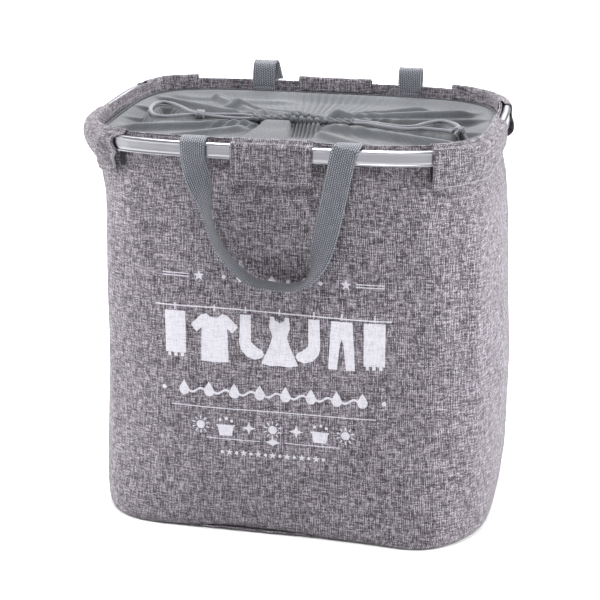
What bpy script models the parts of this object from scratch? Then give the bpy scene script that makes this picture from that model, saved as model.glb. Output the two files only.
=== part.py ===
"""Collapsible laundry hamper: a cloth bag hung from a hollow aluminium rail, with two webbing
handles and a gathered drawstring cover.

Metres, +Z up, front towards -Y. The origin is on the floor, under the middle of the hamper.
"""

from math import acos, asin, cos, pi, sin

import bmesh
import bpy
from mathutils import Matrix, Vector

# Driving dimensions
RAIL_HALF_X = 0.220  # centre line of the rail
RAIL_HALF_Y = 0.160
CORNER_POWER = 4.2  # superellipse exponent of the rail and the bag
RING_STEPS = 48
RAIL_Z = 0.4375  # middle of the rail's height
HEM_TOP = 0.4475
GAP = 0.0003
CLOTH = 0.001
WEBBING_WIDTH = 0.0265
WEBBING = 0.0015
CORD_DIAMETER = 0.0042
KNOT_SKIN = 0.0008

# Insets from the rail's centre line to the outer face of each layer of cloth
WALL_INSET = 0.0055
HEM_INSET = 0.0069
ANCHOR_INSET = 0.0115
YOKE_INSET = 0.0140

SEAM_ANGLE = 0.205  # both side seams, behind the middle of the ends
SEAM_GAP_ANGLE = 0.0015
SEAM_TAPE_ANGLE = 0.035

RIVET_X = 0.018
RIVET_RADIUS = 0.002
RIVET_LENGTH = 0.0076

# Height, right half width, left half width and half depth of the bag's outside
BAG_OUTLINE = [
    (0.0018, 0.2210, 0.2060, 0.1490),
    (0.0100, 0.2290, 0.2130, 0.1545),
    (0.0300, 0.2310, 0.2140, 0.1560),
    (0.0950, 0.2325, 0.2110, 0.1565),
    (0.1600, 0.2345, 0.2080, 0.1570),
    (0.2400, 0.2310, 0.2075, 0.1570),
    (0.3200, 0.2270, 0.2065, 0.1565),
    (0.3700, 0.2215, 0.2045, 0.1555),
    (0.4000, 0.2145, 0.2145, 0.1545),
    (HEM_TOP, 0.2145, 0.2145, 0.1545),
]

# Offset from the rail's centre line and height above its middle, round the hollow profile
RAIL_PROFILE = [
    (-0.0040, 0.0065),
    (-0.0028, 0.0080),
    (0.0028, 0.0080),
    (0.0040, 0.0066),
    (0.0040, 0.0048),
    (0.0032, 0.0038),
    (0.0032, -0.0052),
    (0.0040, -0.0059),
    (0.0040, -0.0072),
    (0.0030, -0.0080),
    (-0.0030, -0.0080),
    (-0.0040, -0.0070),
]

# Underside of a tab or sleeve: offset from the rail's centre line, and height
FOLD_PATH = [
    (-0.0080, 0.4478),
    (-0.0048, 0.4478),
    (-0.0030, 0.4459),
    (0.0030, 0.4459),
    (0.0044, 0.4440),
    (0.0045, 0.4310),
    (0.0030, 0.4200),
    (-0.0020, 0.4100),
    (-0.0050, 0.4030),
]

# Cover: hinge lines at +-HINGE_X and +-HINGE_Y, cut corners, and the gather in the middle
HINGE_X = 0.185
HINGE_Y = 0.128
HINGE_Z = 0.437
FLAP_CORNER = (0.157, 0.104)
FLAP_STRAIGHT_X = 0.130
FLAP_STRAIGHT_Y = 0.080
GATHER_X = 0.060
GATHER_Y = 0.006
GATHER_Z = 0.431

HANDLE_HINGE_FRONT = (0.0, -0.1515, 0.4497)
HANDLE_HINGE_REAR = (0.0, 0.1540, 0.4630)

# Middle of the strap and the direction across it (x, y), from the left end to the right end
FRONT_HANDLE = [
    (-0.0805, -0.1515, 0.4497, 1, 0),
    (-0.0805, -0.1560, 0.4500, 1, 0),
    (-0.0805, -0.1620, 0.4484, 1, 0),
    (-0.0805, -0.1663, 0.4440, 1, 0),
    (-0.0798, -0.1664, 0.4290, 1, 0),
    (-0.0735, -0.1672, 0.4060, 0.85, 0.5),
    (-0.0670, -0.1700, 0.3866, 0.3, 0.95),
    (-0.0629, -0.1712, 0.3659, 0, 1),
    (-0.0557, -0.1715, 0.3449, 0, 1),
    (-0.0427, -0.1715, 0.3242, 0, 1),
    (-0.0197, -0.1715, 0.3041, 0, 1),
    (0.0015, -0.1715, 0.2995, 0, 1),
    (0.0227, -0.1715, 0.2990, 0, 1),
    (0.0380, -0.1715, 0.3045, -0.15, 1),
    (0.0478, -0.1712, 0.3170, -0.5, 0.87),
    (0.0530, -0.1695, 0.3320, -0.85, 0.5),
    (0.0575, -0.1680, 0.3500, -0.97, 0.25),
    (0.0640, -0.1665, 0.3800, -1, 0.05),
    (0.0740, -0.1664, 0.4290, -1, 0),
    (0.0775, -0.1663, 0.4440, -1, 0),
    (0.0800, -0.1620, 0.4484, -1, 0),
    (0.0810, -0.1560, 0.4500, -1, 0),
    (0.0810, -0.1515, 0.4497, -1, 0),
]
REAR_HANDLE = [
    (-0.0777, 0.1540, 0.4630, 1, 0),
    (-0.0777, 0.1590, 0.4651, 1, 0),
    (-0.0777, 0.1640, 0.4660, 1, 0),
    (-0.0770, 0.1685, 0.4632, 1, 0),
    (-0.0755, 0.1708, 0.4570, 1, 0),
    (-0.0685, 0.1712, 0.4250, 1, 0),
    (-0.0635, 0.1712, 0.4000, 0.8, -0.6),
    (-0.0600, 0.1715, 0.3800, 0.2, -1),
    (-0.0545, 0.1715, 0.3550, 0, -1),
    (-0.0430, 0.1715, 0.3330, 0, -1),
    (-0.0200, 0.1715, 0.3160, 0, -1),
    (0.0100, 0.1715, 0.3110, 0, -1),
    (0.0400, 0.1715, 0.3160, 0, -1),
    (0.0640, 0.1715, 0.3330, 0, -1),
    (0.0775, 0.1715, 0.3550, -0.2, -1),
    (0.0850, 0.1714, 0.3800, -0.7, -0.7),
    (0.0905, 0.1712, 0.4050, -1, -0.1),
    (0.0950, 0.1710, 0.4300, -1, 0),
    (0.0970, 0.1704, 0.4500, -1, 0),
    (0.0970, 0.1682, 0.4595, -1, 0),
    (0.0970, 0.1637, 0.4638, -1, 0),
    (0.0970, 0.1587, 0.4643, -1, 0),
    (0.0970, 0.1540, 0.4630, -1, 0),
]

# Drawstrings: x and y of the points they follow across the cover
LEFT_CORD = [
    (-0.0575, -0.0060),
    (-0.0732, -0.0120),
    (-0.0900, -0.0125),
    (-0.1060, -0.0123),
    (-0.1190, -0.0123),
    (-0.1347, -0.0231),
    (-0.1490, -0.0340),
    (-0.1617, -0.0290),
    (-0.1716, -0.0075),
    (-0.1745, 0.0155),
    (-0.1695, 0.0300),
    (-0.1580, 0.0290),
    (-0.1422, 0.0160),
    (-0.1290, 0.0010),
    (-0.1190, -0.0063),
    (-0.1060, -0.0063),
    (-0.0900, 0.0000),
    (-0.0736, 0.0060),
    (-0.0575, 0.0060),
]
LEFT_KNOT = (-0.1125, -0.0093)
RIGHT_CORD_FRONT = [
    (0.0575, -0.0060),
    (0.0753, -0.0085),
    (0.0965, -0.0210),
    (0.1210, -0.0330),
    (0.1370, -0.0300),
    (0.1480, -0.0330),
    (0.1650, -0.0400),
    (0.1725, -0.0440),
]
RIGHT_CORD_REAR = [
    (0.0575, 0.0050),
    (0.0753, -0.0010),
    (0.0965, -0.0130),
    (0.1150, -0.0215),
    (0.1270, -0.0195),
    (0.1380, -0.0050),
    (0.1500, 0.0040),
    (0.1625, 0.0000),
    (0.1740, -0.0165),
    (0.1785, -0.0370),
]
RIGHT_KNOT = (0.1790, -0.0458)


def clear_scene():
    for item in list(bpy.data.objects):
        bpy.data.objects.remove(item, do_unlink=True)


def new_collection(name):
    collection = bpy.data.collections.new(name)
    bpy.context.scene.collection.children.link(collection)
    return collection


def make_material(name, color, roughness, metallic=0.0):
    material = bpy.data.materials.new(name)
    material.use_nodes = True
    shader = material.node_tree.nodes["Principled BSDF"]
    shader.inputs["Base Color"].default_value = (*color, 1.0)
    shader.inputs["Roughness"].default_value = roughness
    shader.inputs["Metallic"].default_value = metallic
    return material


def signed_power(value, power):
    return abs(value) ** power if value >= 0 else -(abs(value) ** power)


def ring_point(angle, half_x, half_y, offset, z):
    """A point of a superellipse ring, moved outwards by offset."""
    x = half_x * signed_power(cos(angle), 2 / CORNER_POWER)
    y = half_y * signed_power(sin(angle), 2 / CORNER_POWER)
    across = signed_power(x / half_x, CORNER_POWER - 1) / half_x
    along = signed_power(y / half_y, CORNER_POWER - 1) / half_y
    normal = Vector((across, along, 0)).normalized()
    return Vector((x, y, z)) + normal * offset


def rail_point(angle, offset, z):
    return ring_point(angle, RAIL_HALF_X, RAIL_HALF_Y, offset, z)


def angle_at_x(x, side):
    """Where the rail passes x on the front (side -1) or the rear (side 1)."""
    return side * acos(signed_power(x / RAIL_HALF_X, CORNER_POWER / 2))


def angle_at_y(y, side):
    """Where the rail passes y on the left (side -1) or the right (side 1)."""
    turn = asin(signed_power(y / RAIL_HALF_Y, CORNER_POWER / 2))
    return turn if side > 0 else pi - turn


def ring_stations(start, end):
    """Angles from start to end. All layers share their inner stations, so they nest."""
    step = 2 * pi / RING_STEPS
    inner = [step * i for i in range(-RING_STEPS, 2 * RING_STEPS)]
    return [start] + [angle for angle in inner if start + step / 9 < angle < end - step / 9] + [end]


def outline_at(z):
    """Right half width, left half width and half depth of the bag at a height."""
    for low, high in zip(BAG_OUTLINE, BAG_OUTLINE[1:]):
        if z <= high[0]:
            share = (z - low[0]) / (high[0] - low[0])
            return [a + (b - a) * share for a, b in zip(low[1:], high[1:])]
    return BAG_OUTLINE[-1][1:]


def bag_point(angle, z, inset=0.0):
    """A point on the bag's outside, or inside it by inset."""
    right, left, depth = outline_at(z)
    half_x = (right if cos(angle) > 0 else left) + WALL_INSET
    return ring_point(angle, half_x, depth + WALL_INSET, -WALL_INSET - inset, z)


def smooth_path(points, steps):
    """A Catmull-Rom curve through points, with steps pieces between neighbours."""
    vectors = [Vector(point) for point in points]
    padded = [vectors[0] * 2 - vectors[1]] + vectors + [vectors[-1] * 2 - vectors[-2]]
    path = []
    for a, b, c, d in zip(padded, padded[1:], padded[2:], padded[3:]):
        for step in range(steps):
            t = step / steps
            path.append(
                0.5 * (2 * b + (c - a) * t + (2 * a - 5 * b + 4 * c - d) * t**2)
                + 0.5 * (3 * b - a - 3 * c + d) * t**3
            )
    path.append(vectors[-1])
    return path


def finish_object(item, material, collection, smooth=True):
    item.data.materials.append(material)
    if smooth and item.type == "MESH":
        item.data.shade_smooth()
    collection.objects.link(item)
    return item


def make_sheet(name, columns, rows, place, material, collection, thickness=CLOTH, side=-1,
               closed=False):
    """A grid mapped by place(column, row) and thickened; closed joins last column to first."""
    mesh = bpy.data.meshes.new(name)
    bm = bmesh.new()
    bmesh.ops.create_grid(bm, x_segments=columns, y_segments=rows, size=0.5)
    for vert in bm.verts:
        column = round((vert.co.x + 0.5) * columns)
        row = round((vert.co.y + 0.5) * rows)
        vert.co = place(column, row)
    if closed:
        bmesh.ops.remove_doubles(bm, verts=bm.verts, dist=1e-6)
    bm.to_mesh(mesh)
    bm.free()
    item = bpy.data.objects.new(name, mesh)
    solidify = item.modifiers.new("Thickness", "SOLIDIFY")
    solidify.thickness = thickness
    solidify.offset = side
    return finish_object(item, material, collection)


def make_band(name, start, end, path, material, collection, **options):
    """A strip along the rail from one angle to another, with a section given by path."""
    angles = ring_stations(start, end)

    def place(column, row):
        offset, z = path[row]
        return rail_point(angles[column], offset, z)

    columns = len(angles) - 1
    return make_sheet(name, columns, len(path) - 1, place, material, collection, **options)


def make_strap(name, stations, steps, material, collection):
    """Webbing along stations of (x, y, z, across x, across y)."""
    middle = smooth_path([station[:3] for station in stations], steps)
    across = smooth_path([(*station[3:], 0) for station in stations], steps)
    last = len(middle) - 1

    def place(column, row):
        tangent = middle[min(row + 1, last)] - middle[max(row - 1, 0)]
        tangent.normalize()
        width = across[row] - tangent * across[row].dot(tangent)
        width.normalize()
        return middle[row] + width * WEBBING_WIDTH * (column - 0.5)

    return make_sheet(name, 1, last, place, material, collection, thickness=WEBBING, side=0)


def make_board(name, z, thickness, inset, material, collection):
    """A flat piece with the bag's outline at its foot, pulled in by inset."""
    cells = 8
    right, left, depth = outline_at(BAG_OUTLINE[0][0])

    def place(column, row):
        across = 2 * column / cells - 1
        along = 2 * row / cells - 1
        reach = max(abs(across), abs(along))
        if reach == 0:
            return Vector((0, 0, z))
        power = CORNER_POWER
        scale = reach / (abs(across) ** power + abs(along) ** power) ** (1 / power)
        half_x = (right if across > 0 else left) - inset
        return Vector((half_x * across * scale, (depth - inset) * along * scale, z))

    return make_sheet(name, cells, cells, place, material, collection, thickness=thickness, side=1)


def make_tube(name, points, diameter, steps, material, collection):
    """A round cord along a smooth path."""
    path = smooth_path(points, steps)
    curve = bpy.data.curves.new(name, "CURVE")
    curve.dimensions = "3D"
    curve.bevel_depth = diameter / 2
    curve.bevel_resolution = 2
    curve.use_fill_caps = True
    spline = curve.splines.new("POLY")
    spline.points.add(len(path) - 1)
    for point, place in zip(spline.points, path):
        point.co = (*place, 1)
    item = bpy.data.objects.new(name, curve)
    return finish_object(item, material, collection)


def rivet_mesh(name, radius, length, places):
    """Cylinders along Y at the given places."""
    mesh = bpy.data.meshes.new(name)
    bm = bmesh.new()
    for place in places:
        matrix = Matrix.Translation(place) @ Matrix.Rotation(pi / 2, 4, "X")
        bmesh.ops.create_cone(bm, cap_ends=True, segments=12, radius1=radius,
                              radius2=radius, depth=length, matrix=matrix)
    bm.to_mesh(mesh)
    bm.free()
    return bpy.data.objects.new(name, mesh)


def make_rivets(material, collection, cutters):
    """Two flush rivets at each splice, and the cutter for their holes."""
    places = {}
    for y, face in ((-RAIL_HALF_Y, "front"), (RAIL_HALF_Y, "rear")):
        for x, end in ((-RIVET_X, "left"), (RIVET_X, "right")):
            places[f"frame_rivet_{face}_{end}"] = (x, y, RAIL_Z)
    for name, place in places.items():
        rivet = rivet_mesh(name, RIVET_RADIUS, RIVET_LENGTH, [place])
        finish_object(rivet, material, collection)
        rivet.data.set_sharp_from_angle(angle=pi / 4)
    cutter = rivet_mesh("rivet_holes", RIVET_RADIUS + GAP, 0.02, places.values())
    cutter.hide_render = True
    cutter.display_type = "WIRE"
    cutters.objects.link(cutter)
    return cutter


def cut_holes(item, cutter):
    boolean = item.modifiers.new("Rivet holes", "BOOLEAN")
    boolean.operation = "DIFFERENCE"
    boolean.object = cutter


def make_frame(parts, cutters, materials):
    """Two hollow rail halves that butt at front and rear over a splice, with rivets."""
    cutter = make_rivets(materials["aluminium"], parts, cutters)
    halves = {"frame_half_right": 0.0, "frame_half_left": pi}
    butt_gap = 0.0015
    profile = RAIL_PROFILE + RAIL_PROFILE[:1]
    path = [(offset, RAIL_Z + height) for offset, height in profile]
    for name, middle in halves.items():
        start = middle - pi / 2 + butt_gap
        end = middle + pi / 2 - butt_gap
        half = make_band(name, start, end, path, materials["aluminium"], parts, side=1,
                         closed=True)
        half.data.set_sharp_from_angle(angle=pi / 5)
        cut_holes(half, cutter)
    for name, side in (("splice_front", -1), ("splice_rear", 1)):
        cut_holes(make_splice(name, side, materials["plastic"], parts), cutter)


def make_splice(name, side, material, collection):
    """A bar that follows the rail inside its hollow."""
    reach = 0.030
    start = angle_at_x(-reach, side)
    end = angle_at_x(reach, side)
    path = [(0.0019, RAIL_Z - 0.006), (0.0019, RAIL_Z + 0.006)]
    start, end = sorted((start, end))
    return make_band(name, start, end, path, material, collection, thickness=0.0042)


def make_folds(parts, materials):
    """The centre tabs and corner sleeves that fold over the rail, and their tapes."""
    spans = {
        "front_tab": (angle_at_x(-0.041, -1), angle_at_x(0.044, -1)),
        "rear_tab": (angle_at_x(0.051, 1), angle_at_x(-0.0355, 1)),
        "corner_sleeve_front_right": (angle_at_x(0.164, -1), angle_at_y(0.0, 1)),
        "corner_sleeve_rear_right": (angle_at_y(0.075, 1), angle_at_x(0.150, 1)),
        "corner_sleeve_rear_left": (angle_at_x(-0.158, 1), angle_at_y(0.095, -1)),
        "corner_sleeve_front_left": (angle_at_y(-0.030, -1), angle_at_x(-0.1585, -1) + 2 * pi),
    }
    for name, (start, end) in spans.items():
        make_band(name, start, end, FOLD_PATH, materials["cloth"], parts, side=-1)
    for corner, end, side in (("front_left", 1, 1), ("front_right", 0, -1),
                              ("rear_left", 0, -1), ("rear_right", 1, 1)):
        edge = spans["corner_sleeve_" + corner][end]
        make_tape("hook_tape_" + corner, edge, side, materials["black"], parts)


def make_tape(name, edge, side, material, collection):
    """A short hook-and-loop strip on the wall, beside a sleeve's edge."""
    middle = rail_point(edge, -0.0048, 0.4195)
    tangent = (rail_point(edge + 0.001, -0.0048, 0.4195) - middle).normalized()
    outward = tangent.cross(Vector((0, 0, 1)))
    basis = Matrix((outward, tangent, Vector((0, 0, 1)))).transposed().to_4x4()
    size = Matrix.Diagonal((0.0006, 0.006, 0.015, 1))
    place = Matrix.Translation(middle + tangent * side * 0.004) @ basis @ size
    mesh = bpy.data.meshes.new(name)
    bm = bmesh.new()
    bmesh.ops.create_cube(bm, size=1, matrix=place)
    bm.to_mesh(mesh)
    bm.free()
    finish_object(bpy.data.objects.new(name, mesh), material, collection, smooth=False)


def make_bag(parts, materials):
    """Two wall cloths, the bottom, its board, the hem and the seam tapes."""
    heights = [row[0] for row in BAG_OUTLINE]
    walls = {
        "front_panel": (-pi - SEAM_ANGLE + SEAM_GAP_ANGLE, SEAM_ANGLE - SEAM_GAP_ANGLE),
        "rear_panel": (SEAM_ANGLE + SEAM_GAP_ANGLE, pi - SEAM_ANGLE - SEAM_GAP_ANGLE),
    }
    for name, (start, end) in walls.items():
        angles = ring_stations(start, end)

        def place(column, row):
            return bag_point(angles[column], heights[row])

        make_sheet(name, len(angles) - 1, len(heights) - 1, place, materials["cloth"], parts)
    make_seam_tapes(heights[1:-2], parts, materials)
    make_board("base_panel", 0.0, 0.0015, 0.0005, materials["cloth"], parts)
    make_board("base_board", 0.0015 + GAP, 0.002, 0.006, materials["plastic"], parts)
    path = [(-HEM_INSET, 0.412), (-HEM_INSET, HEM_TOP)]
    make_band("top_hem", 0, 2 * pi, path, materials["cloth"], parts, closed=True)


def make_seam_tapes(heights, parts, materials):
    """Bindings over the side seams, inside the bag."""
    tapes = {"seam_binding_right": SEAM_ANGLE, "seam_binding_left": pi - SEAM_ANGLE}
    for name, middle in tapes.items():

        def place(column, row):
            angle = middle + SEAM_TAPE_ANGLE * (column - 1)
            return bag_point(angle, heights[row], CLOTH + 2 * GAP)

        make_sheet(name, 2, len(heights) - 1, place, materials["cover"], parts, thickness=0.0006)


def make_handles(parts, materials, hinges):
    """Webbing handles, and their ends sewn inside the hem."""
    straps = {"front_handle": FRONT_HANDLE, "rear_handle": REAR_HANDLE}
    for name, stations in straps.items():
        strap = make_strap(name, stations, 2, materials["webbing"], parts)
        hang(strap, hinges[name])
        side = -1 if name == "front_handle" else 1
        inner = side * (RAIL_HALF_Y - ANCHOR_INSET)
        tops = [(inner, 0.385), (inner, 0.420), (inner, 0.4440)]
        if side > 0:
            tops[-1] = (inner, 0.4475)
            tops.append((HANDLE_HINGE_REAR[1] - 0.0009, HANDLE_HINGE_REAR[2] - 0.0034))
        for end, station in (("left", stations[0]), ("right", stations[-1])):
            anchor = [(station[0], y, z, 1, 0) for y, z in tops]
            label = name.replace("_handle", "_" + end)
            make_strap("handle_anchor_" + label, anchor, 1, materials["webbing"], parts)


def make_yoke(parts, materials):
    """The fixed band of cover cloth between the hem and the hinge lines."""
    corner_x, corner_y = FLAP_CORNER
    border = 0.0009
    side = [
        (HINGE_X + border, 0),
        (HINGE_X + border, FLAP_STRAIGHT_Y),
        (corner_x + border, corner_y + border),
        (FLAP_STRAIGHT_X, HINGE_Y + border),
        (0, HINGE_Y + border),
    ]
    quarter = smooth_path_straight(side, 3)
    ring = quarter + [(-x, y) for x, y in reversed(quarter)][1:]
    ring += [(x, -y) for x, y in reversed(ring)][1:]
    columns = len(ring) - 1

    def place(column, row):
        x, y = ring[column]
        if row == 0:
            return Vector((x, y, HINGE_Z))
        across = signed_power(x / HINGE_X, CORNER_POWER / 2)
        along = signed_power(y / HINGE_Y, CORNER_POWER / 2)
        length = (across**2 + along**2) ** 0.5
        angle = acos(max(-1, min(1, across / length)))
        if along < 0:
            angle = -angle
        return rail_point(angle, -YOKE_INSET, HINGE_Z + 0.0035)

    make_sheet("closure_yoke", columns, 1, place, materials["cover"], parts, side=0, closed=True)


def smooth_path_straight(points, steps):
    """Points along a polyline, with steps pieces between neighbours."""
    path = []
    for (x0, y0), (x1, y1) in zip(points, points[1:]):
        path += [(x0 + (x1 - x0) * i / steps, y0 + (y1 - y0) * i / steps) for i in range(steps)]
    path.append(points[-1])
    return path


def make_cover(parts, materials, hinges):
    """Four cover cloths that slope down to the gather, and the two casings."""
    corner_x, corner_y = FLAP_CORNER
    front_outer = [(-corner_x, corner_y), (-FLAP_STRAIGHT_X, HINGE_Y), (FLAP_STRAIGHT_X, HINGE_Y),
                   (corner_x, corner_y)]
    front_inner = [(x, GATHER_Y) for x in (-GATHER_X, -GATHER_X / 3, GATHER_X / 3, GATHER_X)]
    end_outer = [(corner_x, -corner_y), (HINGE_X, -FLAP_STRAIGHT_Y), (HINGE_X, FLAP_STRAIGHT_Y),
                 (corner_x, corner_y)]
    end_inner = [(GATHER_X, y) for y in (-GATHER_Y, -GATHER_Y / 3, GATHER_Y / 3, GATHER_Y)]
    flaps = {
        "closure_front": (front_outer, front_inner, 1, -1),
        "closure_rear": (front_outer, front_inner, 1, 1),
        "closure_left": (end_outer, end_inner, -1, 1),
        "closure_right": (end_outer, end_inner, 1, 1),
    }
    for name, (outer, inner, flip_x, flip_y) in flaps.items():
        shift = Vector((flip_x * GAP, 0, 0)) if inner is end_inner else Vector((0, flip_y * GAP, 0))

        def place(column, row):
            x, y = (outer, inner)[row][column]
            z = (HINGE_Z, GATHER_Z)[row]
            return Vector((x * flip_x, y * flip_y, z)) + shift

        flap = make_sheet(name, 3, 1, place, materials["cover"], parts, side=0)
        hang(flap, hinges[name])
    for name, side in (("casing_front", -1), ("casing_rear", 1)):
        y = side * 0.0043
        ends = [(x, y, GATHER_Z + 0.0047) for x in (-0.055, -0.018, 0.018, 0.055)]
        casing = make_tube(name, ends, 0.007, 1, materials["cover"], parts)
        hang(casing, hinges["closure_" + name.split("_")[1]])


def cord_route(points):
    """The drawstring's middle, resting on the cover cloth."""
    slope = (HINGE_Z - GATHER_Z) / (HINGE_X - GATHER_X)
    lift = CLOTH / 2 + CORD_DIAMETER / 2 + KNOT_SKIN + 3 * GAP
    return [(x, y, GATHER_Z + slope * (abs(x) - GATHER_X) + lift) for x, y in points]


def make_left_knot(material, collection):
    """A knot with a flat passage for the two strands of the left drawstring."""
    middle = Vector(cord_route([LEFT_KNOT])[0])
    columns = 12

    def place(column, row):
        angle = 2 * pi * column / columns
        x = (row - 1.5) * 0.0028
        swell = 0.0 if row in (0, 3) else 0.0012
        y = signed_power(cos(angle), 0.7) * (0.0064 + swell)
        z = signed_power(sin(angle), 0.7) * (0.0034 + swell)
        return middle + Vector((x, y, max(z, -0.0034)))

    return make_sheet("knot_left", columns, 3, place, material, collection, thickness=KNOT_SKIN,
                      side=-1, closed=True)


def make_right_knot(material, collection):
    """The knot that ties both ends of the right drawstring."""
    middle = cord_route([RIGHT_KNOT])[0]
    mesh = bpy.data.meshes.new("knot_right")
    bm = bmesh.new()
    size = Matrix.Diagonal((0.0052, 0.0060, 0.0042, 1))
    place = Matrix.Translation((middle[0], middle[1], middle[2] + 0.0018)) @ size
    bmesh.ops.create_uvsphere(bm, u_segments=12, v_segments=8, radius=1, matrix=place)
    bm.to_mesh(mesh)
    bm.free()
    return finish_object(bpy.data.objects.new("knot_right", mesh), material, collection)


def make_cords(parts, materials, hinges):
    routes = {"cord_left": LEFT_CORD, "cord_right_front": RIGHT_CORD_FRONT,
              "cord_right_rear": RIGHT_CORD_REAR}
    for name, points in routes.items():
        cord = make_tube(name, cord_route(points), CORD_DIAMETER, 2, materials["cord"], parts)
        hang(cord, hinges["closure_" + name.split("_")[1]])
    hang(make_left_knot(materials["cord"], parts), hinges["closure_left"])
    hang(make_right_knot(materials["cord"], parts), hinges["closure_right"])


def make_hinges(parts):
    """Empties on the joint axes."""
    places = {
        "front_handle": HANDLE_HINGE_FRONT,
        "rear_handle": HANDLE_HINGE_REAR,
        "closure_front": (0, -HINGE_Y, HINGE_Z),
        "closure_rear": (0, HINGE_Y, HINGE_Z),
        "closure_left": (-HINGE_X, 0, HINGE_Z),
        "closure_right": (HINGE_X, 0, HINGE_Z),
    }
    hinges = {}
    for name, place in places.items():
        empty = bpy.data.objects.new(name + "_axis", None)
        empty.location = place
        parts.objects.link(empty)
        hinges[name] = empty
    return hinges


def hang(item, hinge):
    """Parent a piece, modelled in world coordinates, to the empty on its axis."""
    item.parent = hinge
    item.location = -hinge.location


def main():
    clear_scene()
    parts = new_collection("laundry_hamper")
    cutters = new_collection("cutters")
    materials = {
        "aluminium": make_material("brushed aluminium", (0.62, 0.61, 0.66), 0.28, 1.0),
        "plastic": make_material("grey plastic", (0.35, 0.35, 0.36), 0.5),
        "cloth": make_material("heathered cloth", (0.23, 0.20, 0.23), 0.9),
        "cover": make_material("grey cover cloth", (0.25, 0.26, 0.28), 0.85),
        "webbing": make_material("grey webbing", (0.22, 0.22, 0.27), 0.8),
        "cord": make_material("grey cord", (0.21, 0.20, 0.25), 0.8),
        "black": make_material("black tape", (0.03, 0.03, 0.035), 0.9),
    }
    hinges = make_hinges(parts)
    make_frame(parts, cutters, materials)
    make_folds(parts, materials)
    make_bag(parts, materials)
    make_handles(parts, materials, hinges)
    make_yoke(parts, materials)
    make_cover(parts, materials, hinges)
    make_cords(parts, materials, hinges)


main()
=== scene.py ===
"""Collapsible laundry hamper: the looks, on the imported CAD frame.

Metres, +Z up, front towards -Y. Cloth pieces are grids of points worked out with numpy. Each
grid carries the attribute cloth_uv, its woven directions in metres, which the weaves follow.
"""

from math import atan2, cos, pi, sin

import bmesh
import bpy
import numpy as np
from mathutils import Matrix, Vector
from mathutils.geometry import tessellate_polygon


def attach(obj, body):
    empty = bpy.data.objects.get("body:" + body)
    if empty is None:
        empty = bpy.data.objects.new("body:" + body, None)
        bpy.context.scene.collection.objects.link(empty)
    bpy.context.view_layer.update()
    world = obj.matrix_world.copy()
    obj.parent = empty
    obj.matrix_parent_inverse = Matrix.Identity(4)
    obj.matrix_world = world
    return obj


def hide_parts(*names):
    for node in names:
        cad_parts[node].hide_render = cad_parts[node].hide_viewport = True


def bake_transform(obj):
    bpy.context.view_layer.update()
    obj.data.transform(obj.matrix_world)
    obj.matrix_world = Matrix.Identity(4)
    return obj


# Sizes shared with the CAD
POWER = 4.2
RAIL_X = 0.220
RAIL_Y = 0.160
RAIL_Z = 0.4375
HEM_TOP = 0.4475
CLOTH = 0.001
WALL_INSET = 0.0055
HEM_INSET = 0.0069
ANCHOR_INSET = 0.0115
YOKE_INSET = 0.0140
WEBBING_WIDTH = 0.0265
WEBBING = 0.0015
CORD_DIAMETER = 0.0042
SEAM_ANGLE = 0.205
THREAD_PITCH = 0.00095
STITCH_PITCH = 0.0034
STITCH_LENGTH = 0.0026
STITCH_LIFT = 0.0012
WEBBING_COLUMNS = 9
CORD_STEPS = 10

# Height, right half width, left half width and half depth of the bag's outside
BAG_OUTLINE = np.array([
    (0.0018, 0.2290, 0.2130, 0.1540),
    (0.0300, 0.2310, 0.2140, 0.1560),
    (0.0950, 0.2325, 0.2110, 0.1565),
    (0.1600, 0.2345, 0.2080, 0.1570),
    (0.2400, 0.2310, 0.2075, 0.1570),
    (0.3200, 0.2270, 0.2065, 0.1565),
    (0.3700, 0.2215, 0.2045, 0.1555),
    (0.4000, 0.2145, 0.2085, 0.1545),
    (0.4120, 0.2145, 0.2105, 0.1545),
    (0.4210, 0.2145, 0.2145, 0.1545),
    (HEM_TOP, 0.2145, 0.2145, 0.1545),
])
FOOT_RADIUS = 0.013

HINGE_X = 0.185
HINGE_Y = 0.128
HINGE_Z = 0.437
FLAP_CORNER = (0.157, 0.104)
GATHER_X = 0.060
GATHER_Y = 0.006
GATHER_Z = 0.431

# Middle of the strap and the direction across it (x, y), as in the CAD
FRONT_HANDLE = [
    (-0.0805, -0.1515, 0.4497, 1, 0), (-0.0805, -0.1560, 0.4500, 1, 0),
    (-0.0805, -0.1620, 0.4484, 1, 0), (-0.0805, -0.1663, 0.4440, 1, 0),
    (-0.0798, -0.1664, 0.4290, 1, 0), (-0.0735, -0.1672, 0.4060, 0.85, 0.5),
    (-0.0670, -0.1700, 0.3866, 0.3, 0.95), (-0.0629, -0.1712, 0.3659, 0, 1),
    (-0.0557, -0.1715, 0.3449, 0, 1), (-0.0427, -0.1715, 0.3242, 0, 1),
    (-0.0197, -0.1715, 0.3041, 0, 1), (0.0015, -0.1715, 0.2995, 0, 1),
    (0.0227, -0.1715, 0.2990, 0, 1), (0.0380, -0.1715, 0.3045, -0.15, 1),
    (0.0478, -0.1712, 0.3170, -0.5, 0.87), (0.0530, -0.1695, 0.3320, -0.85, 0.5),
    (0.0575, -0.1680, 0.3500, -0.97, 0.25), (0.0640, -0.1665, 0.3800, -1, 0.05),
    (0.0740, -0.1664, 0.4290, -1, 0), (0.0775, -0.1663, 0.4440, -1, 0),
    (0.0800, -0.1620, 0.4484, -1, 0), (0.0810, -0.1560, 0.4500, -1, 0),
    (0.0810, -0.1515, 0.4497, -1, 0),
]
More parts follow.
